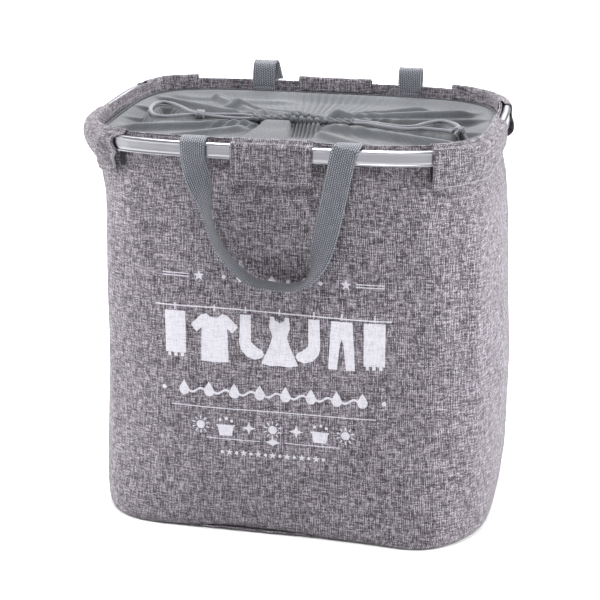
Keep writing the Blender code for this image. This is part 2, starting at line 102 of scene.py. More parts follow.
REAR_HANDLE = [
    (-0.0777, 0.1540, 0.4630, 1, 0), (-0.0777, 0.1590, 0.4651, 1, 0),
    (-0.0777, 0.1640, 0.4660, 1, 0), (-0.0770, 0.1685, 0.4632, 1, 0),
    (-0.0755, 0.1708, 0.4570, 1, 0), (-0.0685, 0.1712, 0.4250, 1, 0),
    (-0.0635, 0.1712, 0.4000, 0.8, -0.6), (-0.0600, 0.1715, 0.3800, 0.2, -1),
    (-0.0545, 0.1715, 0.3550, 0, -1), (-0.0430, 0.1715, 0.3330, 0, -1),
    (-0.0200, 0.1715, 0.3160, 0, -1), (0.0100, 0.1715, 0.3110, 0, -1),
    (0.0400, 0.1715, 0.3160, 0, -1), (0.0640, 0.1715, 0.3330, 0, -1),
    (0.0775, 0.1715, 0.3550, -0.2, -1), (0.0850, 0.1714, 0.3800, -0.7, -0.7),
    (0.0905, 0.1712, 0.4050, -1, -0.1), (0.0950, 0.1710, 0.4300, -1, 0),
    (0.0970, 0.1704, 0.4500, -1, 0), (0.0970, 0.1682, 0.4595, -1, 0),
    (0.0970, 0.1637, 0.4638, -1, 0), (0.0970, 0.1587, 0.4643, -1, 0),
    (0.0970, 0.1540, 0.4630, -1, 0),
]

# Drawstrings: x and y of the points they follow across the cover, as in the CAD
CORDS = {
    "cord_left": [
        (-0.0575, -0.0060), (-0.0732, -0.0120), (-0.0900, -0.0125), (-0.1060, -0.0123),
        (-0.1190, -0.0123), (-0.1347, -0.0231), (-0.1490, -0.0340), (-0.1617, -0.0290),
        (-0.1716, -0.0075), (-0.1745, 0.0155), (-0.1695, 0.0300), (-0.1580, 0.0290),
        (-0.1422, 0.0160), (-0.1290, 0.0010), (-0.1190, -0.0063), (-0.1060, -0.0063),
        (-0.0900, 0.0000), (-0.0736, 0.0060), (-0.0575, 0.0060),
    ],
    "cord_right_front": [
        (0.0575, -0.0060), (0.0753, -0.0085), (0.0965, -0.0210), (0.1210, -0.0330),
        (0.1370, -0.0300), (0.1480, -0.0330), (0.1650, -0.0400), (0.1725, -0.0440),
    ],
    "cord_right_rear": [
        (0.0575, 0.0050), (0.0753, -0.0010), (0.0965, -0.0130), (0.1150, -0.0215),
        (0.1270, -0.0195), (0.1380, -0.0050), (0.1500, 0.0040), (0.1625, 0.0000),
        (0.1740, -0.0165), (0.1785, -0.0370),
    ],
}
LEFT_KNOT = (-0.1125, -0.0093)
RIGHT_KNOT = (0.1790, -0.0458)
CORNERS = ("front_left", "front_right", "rear_left", "rear_right")


# ---------------------------------------------------------------- curves and grids


def signed_power(value, power):
    return np.sign(value) * np.abs(value) ** power


def smoothstep(value, low, high):
    share = np.clip((value - low) / (high - low), 0, 1)
    return share * share * (3 - 2 * share)


def hump(value, middle, width):
    return np.exp(-(((value - middle) / width) ** 2))


def make_ring():
    """The unit ring, by turn from the front middle, counter-clockwise from above, and its
    arc length on the rail."""
    turn = np.linspace(0, 2 * pi, 4001)
    x, y = np.sin(turn), -np.cos(turn)
    reach = (np.abs(x) ** POWER + np.abs(y) ** POWER) ** (-1 / POWER)
    x, y = x * reach, y * reach
    steps = np.hypot(np.diff(x * RAIL_X), np.diff(y * RAIL_Y))
    return turn, x, y, np.concatenate([[0], np.cumsum(steps)])


RING_TURN, RING_X, RING_Y, RING_LENGTH = make_ring()
AROUND = RING_LENGTH[-1]


def stacked(*parts):
    """Points or weave coordinates from their parts: numbers, rows, columns or grids."""
    return np.stack(np.broadcast_arrays(*parts), -1)


def unit(vectors):
    return vectors / np.linalg.norm(vectors, axis=-1, keepdims=True)


def ring(along, half_x, half_y, offset, z):
    """Points on a ring of these half sizes, at an arc length along the rail, moved outwards."""
    along = np.mod(along, AROUND)
    x = np.interp(along, RING_LENGTH, RING_X)
    y = np.interp(along, RING_LENGTH, RING_Y)
    across_x = signed_power(x, POWER - 1) / half_x
    across_y = signed_power(y, POWER - 1) / half_y
    size = np.hypot(across_x, across_y)
    return stacked(x * half_x + across_x / size * offset,
                   y * half_y + across_y / size * offset, z)


def rail(along, offset, z):
    return ring(along, RAIL_X, RAIL_Y, offset, z)


def outward(along):
    return rail(along, 1.0, 0.0) - rail(along, 0.0, 0.0)


def at_x(x, side):
    """Arc length where the rail passes x at the front (side -1) or the rear (side 1)."""
    share = x / RAIL_X
    return at_turn(share, side * (1 - abs(share) ** POWER) ** (1 / POWER))


def at_y(y, side):
    """Arc length where the rail passes y at the left (side -1) or the right (side 1)."""
    share = y / RAIL_Y
    return at_turn(side * (1 - abs(share) ** POWER) ** (1 / POWER), share)


def at_turn(x, y):
    return float(np.interp(atan2(x, -y) % (2 * pi), RING_TURN, RING_LENGTH))


def from_front(along):
    """Arc length measured both ways from the front middle."""
    return np.mod(along + AROUND / 2, AROUND) - AROUND / 2


def curve_through(points, steps):
    """A Catmull-Rom curve through rows of numbers, with steps pieces between neighbours."""
    points = np.array(points, float)
    padded = np.vstack([2 * points[0] - points[1], points, 2 * points[-1] - points[-2]])
    share = (np.arange(steps) / steps)[:, None]
    pieces = []
    for a, b, c, d in zip(padded, padded[1:], padded[2:], padded[3:]):
        pieces.append(0.5 * (2 * b + (c - a) * share + (2 * a - 5 * b + 4 * c - d) * share**2
                             + (3 * b - a - 3 * c + d) * share**3))
    return np.vstack([*pieces, points[-1:]])


def lengths(points):
    steps = np.linalg.norm(np.diff(points, axis=0), axis=1)
    return np.concatenate([[0], np.cumsum(steps)])


def sample(rows, done, places):
    """Rows of numbers given at the lengths done, read off at other places."""
    return np.stack([np.interp(places, done, column) for column in rows.T], -1)


def resample(points, count):
    """The same line with evenly spaced points."""
    done = lengths(points)
    return sample(points, done, np.linspace(0, done[-1], count))


def new_object(name, data):
    item = bpy.data.objects.new(name, data)
    bpy.context.scene.collection.objects.link(item)
    return item


def mesh_object(name, points, faces, material, coords=None):
    mesh = bpy.data.meshes.new(name)
    mesh.from_pydata(np.reshape(points, (-1, 3)).tolist(), [], faces)
    mesh.materials.append(material)
    mesh.shade_smooth()
    if coords is not None:
        flat = np.zeros((len(mesh.vertices), 3), np.float32)
        flat[:, :2] = np.reshape(coords, (-1, 2))
        attribute = mesh.attributes.new("cloth_uv", "FLOAT_VECTOR", "POINT")
        attribute.data.foreach_set("vector", flat.ravel())
    return new_object(name, mesh)


def grid_faces(rows, columns):
    index = np.arange(rows * columns).reshape(rows, columns)
    return np.stack([index[:-1, :-1], index[:-1, 1:], index[1:, 1:], index[1:, :-1]],
                    -1).reshape(-1, 4).tolist()


def sheet_object(name, points, coords, material, thickness=CLOTH, side=1.0):
    """A thick sheet through a grid of points. Columns run to the right and rows up its face."""
    rows, columns = points.shape[:2]
    item = mesh_object(name, points, grid_faces(rows, columns), material, coords)
    thick = item.modifiers.new("Thickness", "SOLIDIFY")
    thick.thickness = thickness
    thick.offset = side
    return item


def surface_coords(points):
    """Length along each row and each column of a grid, for its weave."""
    across = np.cumsum(np.linalg.norm(np.diff(points, axis=1), axis=2), axis=1)
    up = np.cumsum(np.linalg.norm(np.diff(points, axis=0), axis=2), axis=0)
    across = np.pad(across, ((0, 0), (1, 0))).mean(axis=0)
    up = np.pad(up, ((1, 0), (0, 0))).mean(axis=1)
    return stacked(across, up[:, None])


def tube_object(name, path, radius, material, sides=12):
    """A round tube along a path, with its ends closed. cloth_uv is the way round and along."""
    tangents = unit(np.gradient(path, axis=0))
    across = unit(np.cross(tangents, (0, 0, 1.0)))
    up = np.cross(across, tangents)
    turn = np.linspace(0, 2 * pi, sides + 1)
    radius = np.broadcast_to(radius, len(path))[:, None, None]
    points = (path[:, None] + radius * (np.cos(turn)[None, :, None] * across[:, None]
                                        + np.sin(turn)[None, :, None] * up[:, None]))
    coords = stacked(turn / (2 * pi), lengths(path)[:, None])
    item = mesh_object(name, points, grid_faces(len(path), sides + 1), material, coords)
    work = bmesh.new()
    work.from_mesh(item.data)
    work.verts.ensure_lookup_table()
    for row in (0, len(path) - 1):
        start = row * (sides + 1)
        work.faces.new([work.verts[start + i] for i in range(sides)])
    bmesh.ops.recalc_face_normals(work, faces=work.faces)
    work.to_mesh(item.data)
    work.free()
    return item


def label(item, name):
    """Hides the CAD node that the item replaces."""
    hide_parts(name)
    return item


def place(item, body, slot=None, name=None):
    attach(item, body)
    return label(item, name) if slot else item


def collapse(item):
    """Bakes the item's transform into its mesh."""
    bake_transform(item)
    return item


# ---------------------------------------------------------------- materials


def node(tree, kind, inputs=(), **settings):
    """A shader node. Inputs are values or the sockets that feed them."""
    made = tree.nodes.new("ShaderNode" + kind)
    for key, value in settings.items():
        setattr(made, key, value)
    for key, value in dict(inputs).items():
        if isinstance(value, bpy.types.NodeSocket):
            tree.links.new(value, made.inputs[key])
        else:
            made.inputs[key].default_value = value
    return made


def math_node(tree, operation, *values):
    return node(tree, "Math", dict(enumerate(values)), operation=operation).outputs[0]


def weighted(tree, *pairs):
    """The sum of sockets or values, each times its weight."""
    total = 0.0
    for value, weight in pairs:
        total = math_node(tree, "MULTIPLY_ADD", value, weight, total)
    return total


def new_material(name, roughness, sheen=0.0, metallic=0.0):
    material = bpy.data.materials.new(name)
    material.use_nodes = True
    shader = material.node_tree.nodes["Principled BSDF"]
    for key, value in (("Roughness", roughness), ("Metallic", metallic), ("Sheen Weight", sheen),
                       ("Sheen Roughness", 0.5), ("Specular IOR Level", 0.3)):
        shader.inputs[key].default_value = value
    return material, material.node_tree, shader


def cloth_place(tree):
    return node(tree, "Attribute", attribute_name="cloth_uv").outputs["Vector"]


def object_place(tree):
    return node(tree, "TexCoord").outputs["Object"]


def split(tree, vector):
    parts = node(tree, "SeparateXYZ", {0: vector})
    return parts.outputs[0], parts.outputs[1]


def noise(tree, vector, scale=1.0, detail=2.0):
    """Noise near 0.5. A scale of three numbers stretches it."""
    if isinstance(scale, tuple):
        vector = node(tree, "VectorMath", {0: vector, 1: scale}, operation="MULTIPLY").outputs[0]
        scale = 1.0
    made = node(tree, "TexNoise", {"Vector": vector, "Scale": scale, "Detail": detail})
    return made.outputs["Fac"]


def ramp(tree, value, stops):
    made = node(tree, "ValToRGB", {"Fac": value})
    elements = made.color_ramp.elements
    while len(elements) < len(stops):
        elements.new(0.5)
    for element, (position, color) in zip(elements, stops):
        element.position = position
        element.color = (*color, 1)
    return made.outputs["Color"]


def paint(tree, shader, value, stops):
    tree.links.new(ramp(tree, value, stops), shader.inputs["Base Color"])


def bump(tree, shader, height, distance, strength=1.0):
    made = node(tree, "Bump", {"Height": height, "Distance": distance, "Strength": strength})
    tree.links.new(made.outputs[0], shader.inputs["Normal"])


def half_wave(tree, value, pitch):
    """A ridge each pitch metres, from 0 to 1."""
    turned = math_node(tree, "MULTIPLY", value, 2 * pi / pitch)
    return weighted(tree, (0.5, 1.0), (math_node(tree, "SINE", turned), 0.5))


def threads(tree, vector, pitch):
    """Warp and weft ridges that pass over and under one another, from 0 to 1."""
    u, v = split(tree, vector)
    over = math_node(tree, "MULTIPLY", half_wave(tree, u, 2 * pitch), half_wave(tree, v, 2 * pitch))
    return node(tree, "Mix", {"Factor": over, "A": half_wave(tree, u, pitch),
                              "B": half_wave(tree, v, pitch)}, data_type="FLOAT").outputs[0]


def slubs(tree, vector):
    """Yarn both ways of the weave, each thread with its own slow and quick changes of tone."""
    u, v = split(tree, vector)
    warp, weft = [math_node(tree, "SNAP", way, THREAD_PITCH) for way in (u, v)]
    tones = []
    for layer, (thread, along) in enumerate(((warp, v), (weft, u))):
        yarn = node(tree, "CombineXYZ", {0: weighted(tree, (thread, 1900)),
                                         1: weighted(tree, (along, 105)), 2: 3.0 * layer})
        tones.append((noise(tree, yarn.outputs[0], detail=0), 0.40))
    crossing = node(tree, "CombineXYZ", {0: warp, 1: weft}).outputs[0]
    speck = node(tree, "TexWhiteNoise", {"Vector": crossing}).outputs["Value"]
    return weighted(tree, *tones, (speck, 0.20))


def heather_material(name, dark, middle, light):
    """Linen look: slubs of dark and light yarn, with dark gaps between the threads."""
    material, tree, shader = new_material(name, 0.92, sheen=0.12)
    vector = cloth_place(tree)
    patches = noise(tree, vector, scale=28, detail=3)
    woven = threads(tree, vector, 2 * THREAD_PITCH)
    value = weighted(tree, (slubs(tree, vector), 1), (patches, 0.04), (woven, 0.16))
    paint(tree, shader, value, [(0.440, dark), (0.600, middle), (0.775, light)])
    bump(tree, shader, math_node(tree, "ADD", woven, value), 0.0006, 0.9)
    return material


def plain_weave_material(name, dark, light):
    """Smooth woven cloth, with faint yarn streaks and slow changes of tone."""
    material, tree, shader = new_material(name, 0.82, sheen=0.2)
    vector = cloth_place(tree)
    layers = [noise(tree, vector, (1400, 70, 0)), noise(tree, vector, (70, 1400, 0)),
              noise(tree, vector, scale=22, detail=3)]
    value = weighted(tree, *((layer, 1 / 3) for layer in layers))
    paint(tree, shader, value, [(0.38, dark), (0.62, light)])
    bump(tree, shader, threads(tree, vector, 0.0007), 0.0003, 0.7)
    return material


def webbing_material(name, dark, light):
    """Knitted webbing: slanting stitches in lengthwise ribs. u runs across, v along."""
    material, tree, shader = new_material(name, 0.72, sheen=0.2)
    vector = cloth_place(tree)
    u, v = split(tree, vector)
    slant = math_node(tree, "ADD", v, math_node(tree, "PINGPONG", u, 0.0022))
    stitch = math_node(tree, "MULTIPLY", half_wave(tree, slant, 0.0027),
                       half_wave(tree, u, 0.0022))
    worn = noise(tree, vector, (500, 120, 0), detail=3)
    value = weighted(tree, (stitch, 0.7), (worn, 0.3))
    paint(tree, shader, value, [(0.16, dark), (0.62, light)])
    bump(tree, shader, stitch, 0.0008, 1.0)
    return material


def braid_material(name, dark, light):
    """Braided cord: u goes once round, v runs along."""
    material, tree, shader = new_material(name, 0.75, sheen=0.3)
    vector = cloth_place(tree)
    u, v = split(tree, vector)
    plait = weighted(tree, *((math_node(tree, "PINGPONG", weighted(
        tree, (u, 4.0), (v, way * 4.0 / 0.0085)), 0.5), 1) for way in (1, -1)))
    value = weighted(tree, (plait, 0.7), (noise(tree, vector, (40, 900, 0)), 0.3))
    paint(tree, shader, value, [(0.15, dark), (0.75, light)])
    bump(tree, shader, plait, 0.0006, 0.9)
    return material


def aluminium_material():
    """Satin anodised rail: fine streaks along its length."""
    material, tree, shader = new_material("satin_aluminium", 0.3, metallic=1.0)
    vector = cloth_place(tree)
    streaks = noise(tree, vector, (6, 2600, 0), detail=3)
    paint(tree, shader, streaks, [(0.3, (0.27, 0.27, 0.288)), (0.7, (0.33, 0.33, 0.352))])
    rough = weighted(tree, (0.20, 1), (streaks, 0.16), (noise(tree, vector, scale=30), 0.08))
    tree.links.new(rough, shader.inputs["Roughness"])
    bump(tree, shader, streaks, 0.00002, 0.3)
    return material


def moulded_material(name, color, roughness):
    """Moulded plastic with a fine spark-eroded grain."""
    material, tree, shader = new_material(name, roughness)
    grain = noise(tree, object_place(tree), scale=1800)
    paint(tree, shader, grain, [(0.35, color), (0.65, [min(1, part * 1.25) for part in color])])
    bump(tree, shader, grain, 0.0001, 0.5)
    return material


def hook_tape_material():
    """Black hook-and-loop tape: rows of short hooks."""
    material, tree, shader = new_material("hook_tape", 0.85, sheen=0.2)
    hooks = math_node(tree, "MULTIPLY", *(half_wave(tree, way, 0.0011)
                                          for way in split(tree, cloth_place(tree))))
    paint(tree, shader, hooks, [(0.1, (0.006, 0.006, 0.008)), (0.8, (0.05, 0.05, 0.055))])
    bump(tree, shader, hooks, 0.0005)
    return material


def ink_material():
    """Screen-printed ink that breaks up a little over the weave."""
    material, tree, shader = new_material("print_ink", 0.7)
    vector = cloth_place(tree)
    paint(tree, shader, slubs(tree, vector), [
        (0.36, (0.40, 0.39, 0.43)), (0.45, (0.47, 0.46, 0.50)), (0.6, (0.53, 0.52, 0.57))])
    bump(tree, shader, threads(tree, vector, THREAD_PITCH), 0.0003, 0.5)
    return material


def thread_material(name, color):
    material, tree, shader = new_material(name, 0.7, sheen=0.2)
    twist = noise(tree, object_place(tree), scale=2500)
    paint(tree, shader, twist, [(0.4, [part * 0.7 for part in color]), (0.6, color)])
    return material


def make_materials():
    return {
        "cloth": heather_material("heathered_cloth", (0.026, 0.022, 0.028),
                                  (0.117, 0.103, 0.119), (0.35, 0.326, 0.36)),
        # Painted shade: the tabs and sleeves get a darker copy of the wall's cloth, which offsets
        # the extra light they catch where they stand out from the wall.
        "cloth_painted_shade": heather_material("heathered_cloth_painted_shade", (0.022, 0.019, 0.024),
                                 (0.099, 0.087, 0.101), (0.30, 0.280, 0.31)),
        "cover": plain_weave_material("cover_cloth", (0.054, 0.0575, 0.064),
                                      (0.088, 0.093, 0.102)),
        "gathered": plain_weave_material("gathered_cloth", (0.050, 0.054, 0.061),
                                         (0.100, 0.106, 0.117)),
        "webbing": webbing_material("grey_webbing", (0.040, 0.043, 0.052), (0.235, 0.245, 0.280)),
        "cord": braid_material("grey_cord", (0.040, 0.040, 0.050), (0.165, 0.165, 0.190)),
        "aluminium": aluminium_material(),
        "plastic": moulded_material("grey_plastic", (0.10, 0.10, 0.105), 0.5),
        "tape": hook_tape_material(),
        "ink": ink_material(),
        "thread": thread_material("grey_thread", (0.36, 0.345, 0.37)),
        "dark_thread": thread_material("cover_thread", (0.13, 0.135, 0.15)),
    }


# ---------------------------------------------------------------- camera, stage and light


CAMERA_PLACE = (0.3776, -1.8121, 0.8730)
CAMERA_TARGET = (0, 0, 0.2226)
CAMERA_LENS = 102.9
BAG_MIDDLE = (0, 0, 0.25)
FLOOR_Z = -0.0004


def look_at(item, target):
    direction = Vector(target) - item.location
    item.rotation_euler = direction.to_track_quat("-Z", "Y").to_euler()


def make_camera():
    data = bpy.data.cameras.new("camera")
    data.lens = CAMERA_LENS
    data.shift_x, data.shift_y = -0.0038, 0.0028
    camera = new_object("camera", data)
    camera.location = CAMERA_PLACE
    look_at(camera, CAMERA_TARGET)
    bpy.context.scene.camera = camera


def make_area(name, location, target, size, power):
    data = bpy.data.lights.new(name, "AREA")
    data.shape = "DISK"
    data.size = size
    data.energy = power
    item = new_object(name, data)
    item.location = location
    look_at(item, target)


def make_stage():
    """A pale floor, a white surround and soft lights from both sides and above."""
    material, tree, shader = new_material("pale_floor", 0.9)
    slow = noise(tree, object_place(tree), scale=3, detail=2)
    paint(tree, shader, slow, [(0.3, (0.93, 0.93, 0.935)), (0.7, (0.95, 0.95, 0.95))])
    corners = [(x, y, FLOOR_Z) for x, y in ((-6, -6), (6, -6), (6, 6), (-6, 6))]
    floor = mesh_object("floor", corners, [(0, 1, 2, 3)], material)
    make_world()
    make_area("light_left", (-2.4, -0.30, 0.95), BAG_MIDDLE, 1.0, 92)
    make_area("light_right", (2.4, 0.05, 0.95), BAG_MIDDLE, 1.0, 98)
    make_area("light_front", (0.2, -1.35, 2.5), BAG_MIDDLE, 0.5, 42)
    make_area("light_top", (-0.35, 0.95, 2.3), (0, 0, 0.40), 0.8, 76)
    make_area("light_back", (0, 3.4, 2.6), (0, 2.6, 0), 2.5, 120)
    bpy.context.scene.view_settings.view_transform = "Standard"


def make_world():
    """A white studio that is brighter overhead than at the sides."""
    world = bpy.data.worlds.new("studio")
    world.use_nodes = True
    tree = world.node_tree
    height = node(tree, "SeparateXYZ", {0: node(tree, "TexCoord").outputs["Generated"]})
    color = ramp(tree, height.outputs[2], [(0.0, (0.27, 0.27, 0.28)), (0.45, (0.40, 0.40, 0.41))])
    tree.links.new(color, tree.nodes["Background"].inputs["Color"])
    tree.nodes["Background"].inputs["Strength"].default_value = 1.0
    bpy.context.scene.world = world


# ---------------------------------------------------------------- stitching


def make_stitches(name, lines, material, radius=0.00028):
    """Short raised threads along lines of (points, normals)."""
    verts, faces = [], []
    for points, normals in lines:
        done = lengths(points)
        count = int(done[-1] / STITCH_PITCH)
        if count < 1:
            continue
        middles = (np.arange(count) + 0.5) * done[-1] / count
        tangent = unit(sample(points, done, middles + 0.0005)
                       - sample(points, done, middles - 0.0005))
        normal = unit(sample(normals, done, middles))
        across = np.cross(tangent, normal)
        for p, t, n, a in zip(sample(points, done, middles), tangent, normal, across):
            first = len(verts)
            for end in (-1, 1):
                low = p + t * end * STITCH_LENGTH / 2 - n * radius * 0.6
                high = p + t * end * STITCH_LENGTH * 0.34 + n * radius * 0.8
                verts += [low - a * radius, low + a * radius, high + a * radius * 0.6,
                          high - a * radius * 0.6]
            for i in range(4):
                j = (i + 1) % 4
                faces.append((first + i, first + j, first + 4 + j, first + 4 + i))
            faces += [(first + 3, first + 2, first + 1, first),
                      (first + 4, first + 5, first + 6, first + 7)]
    return mesh_object(name, verts, faces, material)


# ---------------------------------------------------------------- the bag


def foot_tuck(z):
    """How far the bag's foot is rounded in at a height."""
    foot = np.clip(FOOT_RADIUS - z, 0, FOOT_RADIUS)
    return FOOT_RADIUS - np.sqrt(FOOT_RADIUS**2 - foot**2)


def outline_at(z):
    """Right half width, left half width and half depth of the bag, smooth with height."""
    heights = np.linspace(-0.05, 0.5, 1101)
    kernel = np.exp(-np.linspace(-2.5, 2.5, 31) ** 2)
    sizes = []
    for column in range(1, 4):
        sharp = np.interp(heights, BAG_OUTLINE[:, 0], BAG_OUTLINE[:, column])
        soft = np.convolve(np.pad(sharp, 15, mode="edge"), kernel / kernel.sum(), mode="valid")
        sizes.append(np.interp(z, heights, soft))
    return [size - 0.75 * foot_tuck(z) for size in sizes]


def beside_line(x, y, start, end):
    """How far along a line (x, y) lies, as a share of it, and how far to its right."""
    run, rise = end[0] - start[0], end[1] - start[1]
    size = np.hypot(run, rise)
    share = ((x - start[0]) * run + (y - start[1]) * rise) / size**2
    return share, ((x - start[0]) * rise - (y - start[1]) * run) / size


def fold_line(s, z, start, end, width):
    """A soft ridge from one (s, z) to another, fading out at its ends."""
    share, apart = beside_line(s, z, start, end)
    return np.exp(-((apart / width) ** 2)) * np.sin(pi * np.clip(share, 0, 1)) ** 0.8


# Folds in the wall: ends (s, z), width and size
WALL_FOLDS = [
    ((-0.185, 0.405), (-0.120, 0.250), 0.011, 0.0018),
    ((-0.150, 0.400), (-0.135, 0.300), 0.006, -0.0014),
    ((0.150, 0.405), (0.170, 0.250), 0.010, 0.0020),
    ((0.185, 0.400), (0.195, 0.180), 0.009, -0.0018),
    ((0.215, 0.390), (0.210, 0.060), 0.010, 0.0022),
    ((0.245, 0.400), (0.262, 0.120), 0.012, -0.0022),
    ((0.300, 0.380), (0.290, 0.080), 0.014, 0.0020),
    ((-0.245, 0.390), (-0.220, 0.100), 0.012, -0.0020),
    ((-0.215, 0.300), (-0.205, 0.030), 0.011, 0.0018),
    ((0.170, 0.110), (0.215, 0.020), 0.008, -0.0020),
    ((0.120, 0.070), (0.175, 0.030), 0.009, 0.0016),
    ((-0.190, 0.080), (-0.120, 0.025), 0.010, -0.0016),
    ((-0.060, 0.060), (0.030, 0.030), 0.010, 0.0012),
    ((0.045, 0.395), (0.075, 0.320), 0.008, -0.0010),
    ((-0.050, 0.395), (-0.085, 0.330), 0.008, 0.0010),
    ((0.520, 0.390), (0.560, 0.200), 0.012, 0.0022),
    ((0.640, 0.390), (0.600, 0.220), 0.010, -0.0018),
    ((-0.640, 0.380), (-0.590, 0.180), 0.012, 0.0022),
    ((-0.540, 0.395), (-0.520, 0.120), 0.011, -0.0020),
    ((-0.340, 0.390), (-0.320, 0.080), 0.013, 0.0020),
    ((-0.400, 0.380), (-0.420, 0.150), 0.010, -0.0018),
]


def swell(s, z):
    """How far the wall cloth stands out from its outline, at s from the front middle."""
    free = smoothstep(z, 0.004, 0.05) * (1 - smoothstep(z, 0.385, 0.41))
    out = 0.0013 * np.sin(s / 0.055 + 1.3) * np.sin(z / 0.062 + 0.4)
    out += 0.0009 * np.sin(s / 0.034 + z / 0.07 + 2.0)
    out += 0.0005 * np.sin(s / 0.016 - z / 0.05 + 0.7) * (0.4 + smoothstep(z, 0.2, 0.36))
    out *= free
    out -= 0.0065 * hump(s, -0.03, 0.075) * hump(z, 0.0, 0.055)
    out += 0.0100 * hump(s, 0.155, 0.045) * hump(z, 0.004, 0.055)
    out += 0.0040 * hump(s, -0.175, 0.040) * hump(z, 0.004, 0.045)
    out += 0.45 * foot_tuck(z) * (hump(s, 0.155, 0.07) + hump(s, -0.185, 0.06))
    for start, end, width, size in WALL_FOLDS:
        out += size * fold_line(s, z, start, end, width)
    return out


def foot_lift(s):
    """The foot of the wall isn't quite straight: it lifts where the board doesn't press."""
    return 0.0016 * hump(s, -0.03, 0.09) + 0.0008 * np.sin(s / 0.028 + 0.6) ** 2


def rear_drop(y, z):
    """The hem and the wall inside it sit lower at the rear, where the rail shows above them."""
    return 0.0036 * smoothstep(z, 0.43, HEM_TOP) * smoothstep(y, 0.12, 0.15)


def half_width(along, right, left):
    """The half width that holds at an arc length, as the bag's two sides differ."""
    return np.where(np.interp(np.mod(along, AROUND), RING_LENGTH, RING_X) > 0, right, left)


def seams():
    """Arc lengths of the right and left side seams."""
    shares = [(side * cos(SEAM_ANGLE) ** (2 / POWER), sin(SEAM_ANGLE) ** (2 / POWER))
              for side in (1, -1)]
    return [at_turn(x, y) for x, y in shares]


def seam_groove(along, z):
    """The panels dip into the side seams, which pucker."""
    out = 0
    for seam in seams():
        apart = from_front(along - seam)
        pucker = 0.5 + 0.5 * np.sin(z / 0.0021 + 3 * np.sin(z / 0.013))
        out = out - (0.0010 + 0.0007 * pucker) * hump(apart, 0, 0.0032)
        out = out + 0.0006 * hump(apart, -0.0065, 0.004)
    return out * (1 - smoothstep(z, 0.39, 0.41))


def wall(along, z, lift=0.0):
    """A point on the bag's outside, lifted off it, at a height from the foot."""
    along, z = np.broadcast_arrays(np.asarray(along, float), np.asarray(z, float))
    right, left, depth = outline_at(z)
    s = from_front(along)
    half_x = half_width(along, right, left)
    offset = swell(s, z) + seam_groove(along, z) + lift - WALL_INSET
    points = ring(along, half_x + WALL_INSET, depth + WALL_INSET, offset, z)
    points[..., 2] += foot_lift(s) * (1 - smoothstep(z, 0.0, 0.05)) - rear_drop(points[..., 1], z)
    return points


def make_walls(materials):
    right, left = seams()
    gap = 0.0004
    heights = np.concatenate([np.linspace(0.0006, 0.020, 9), np.linspace(0.0235, HEM_TOP, 104)])
    for name, start, end in (("front_panel", left - AROUND + gap, right - gap),
                             ("rear_panel", right + gap, left - gap)):
        along = np.linspace(start, end, int((end - start) / 0.0032))
        grid = wall(along, heights[:, None])
        coords = stacked(along, heights[:, None])
        panel = sheet_object(name + "_cloth", grid, coords, materials["cloth"], side=-1)
        label(collapse(panel), name)
    heights = np.linspace(0.008, 0.405, 80)
    for name, middle in (("seam_binding_right", right), ("seam_binding_left", left)):
        along = middle + np.linspace(-0.008, 0.008, 7)
        inside = 0.0022 + 0.0004 * np.abs(np.linspace(-1, 1, 7))
        grid = wall(along, heights[:, None], -inside)
        binding = sheet_object(name + "_cloth", grid, surface_coords(grid), materials["cover"],
                               thickness=0.0006, side=-1)
        label(collapse(binding), name)


def make_base(materials):
    """The bottom cloth, puckered at its seam, over the stiffening board."""
    along = np.linspace(0, AROUND, 361)
    shares = np.concatenate([np.linspace(0.02, 0.9, 20), [0.94, 0.97, 0.985, 0.995, 1.0]])
    right, left, depth = outline_at(0.0018)
    half_x = half_width(along, right, left)
    edge = ring(along, half_x, depth, -0.0014, 0.0)
    grid = edge[None, :, :] * shares[:, None, None]
    pucker = 0.0004 + 0.0004 * np.sin(along / 0.0035)
    grid[..., 2] = 0.0001 + (pucker + foot_lift(from_front(along)))[None, :] * smoothstep(
        shares, 0.95, 1.0)[:, None]
    base = sheet_object("base_cloth", grid, grid[..., :2], materials["cloth"],
                        thickness=0.0012, side=-1)
    place(base, "bag", "cloth", "base_panel")
    line = ring(along, half_x, depth, -0.007, 0.0001)
    down = np.zeros_like(line)
    down[:, 2] = -1
    place(make_stitches("base_stitches", [(line, down)], materials["thread"]), "bag")
    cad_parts["base_board"].data.materials[0] = materials["plastic"]


# ---------------------------------------------------------------- the rim


def make_rail(materials):
    """Extruded rail: a rounded bead, a groove, a hollow web and a lip, butted under the tabs."""
    profile = np.array([
        (-0.0040, 0.0050), (-0.0038, 0.0066), (-0.0028, 0.0077), (-0.0010, 0.0080),
        (0.0010, 0.0081), (0.0028, 0.0077), (0.0038, 0.0068), (0.0041, 0.0057),
        (0.0037, 0.0048), (0.0029, 0.0044), (0.0029, 0.0040), (0.0030, 0.0020),
        (0.0030, -0.0005), (0.0031, -0.0030), (0.0032, -0.0052), (0.0030, -0.0055),
        (0.0036, -0.0058), (0.0041, -0.0066), (0.0039, -0.0075),
        (0.0030, -0.0080), (-0.0028, -0.0080), (-0.0039, -0.0072), (-0.0040, -0.0055),
        (-0.0040, 0.0050)])
    offsets, heights = profile[::-1].T
    for name, start in (("frame_half_right", 0.0), ("frame_half_left", AROUND / 2)):
        along = start + np.linspace(0.0004, AROUND / 2 - 0.0004, 260)
        grid = rail(along, offsets[:, None], RAIL_Z + heights[:, None])
        coords = stacked(along, lengths(profile[::-1])[:, None])
        half = sheet_object(name + "_rail", grid, coords, materials["aluminium"],
                            thickness=0.0009, side=-1)
        place(half, "rim", "aluminium", name)
    for name in ["splice_front", "splice_rear"]:
        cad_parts[name].data.materials[0] = materials["plastic"]
    for corner in CORNERS:
        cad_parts["frame_rivet_" + corner].data.materials[0] = materials["aluminium"]


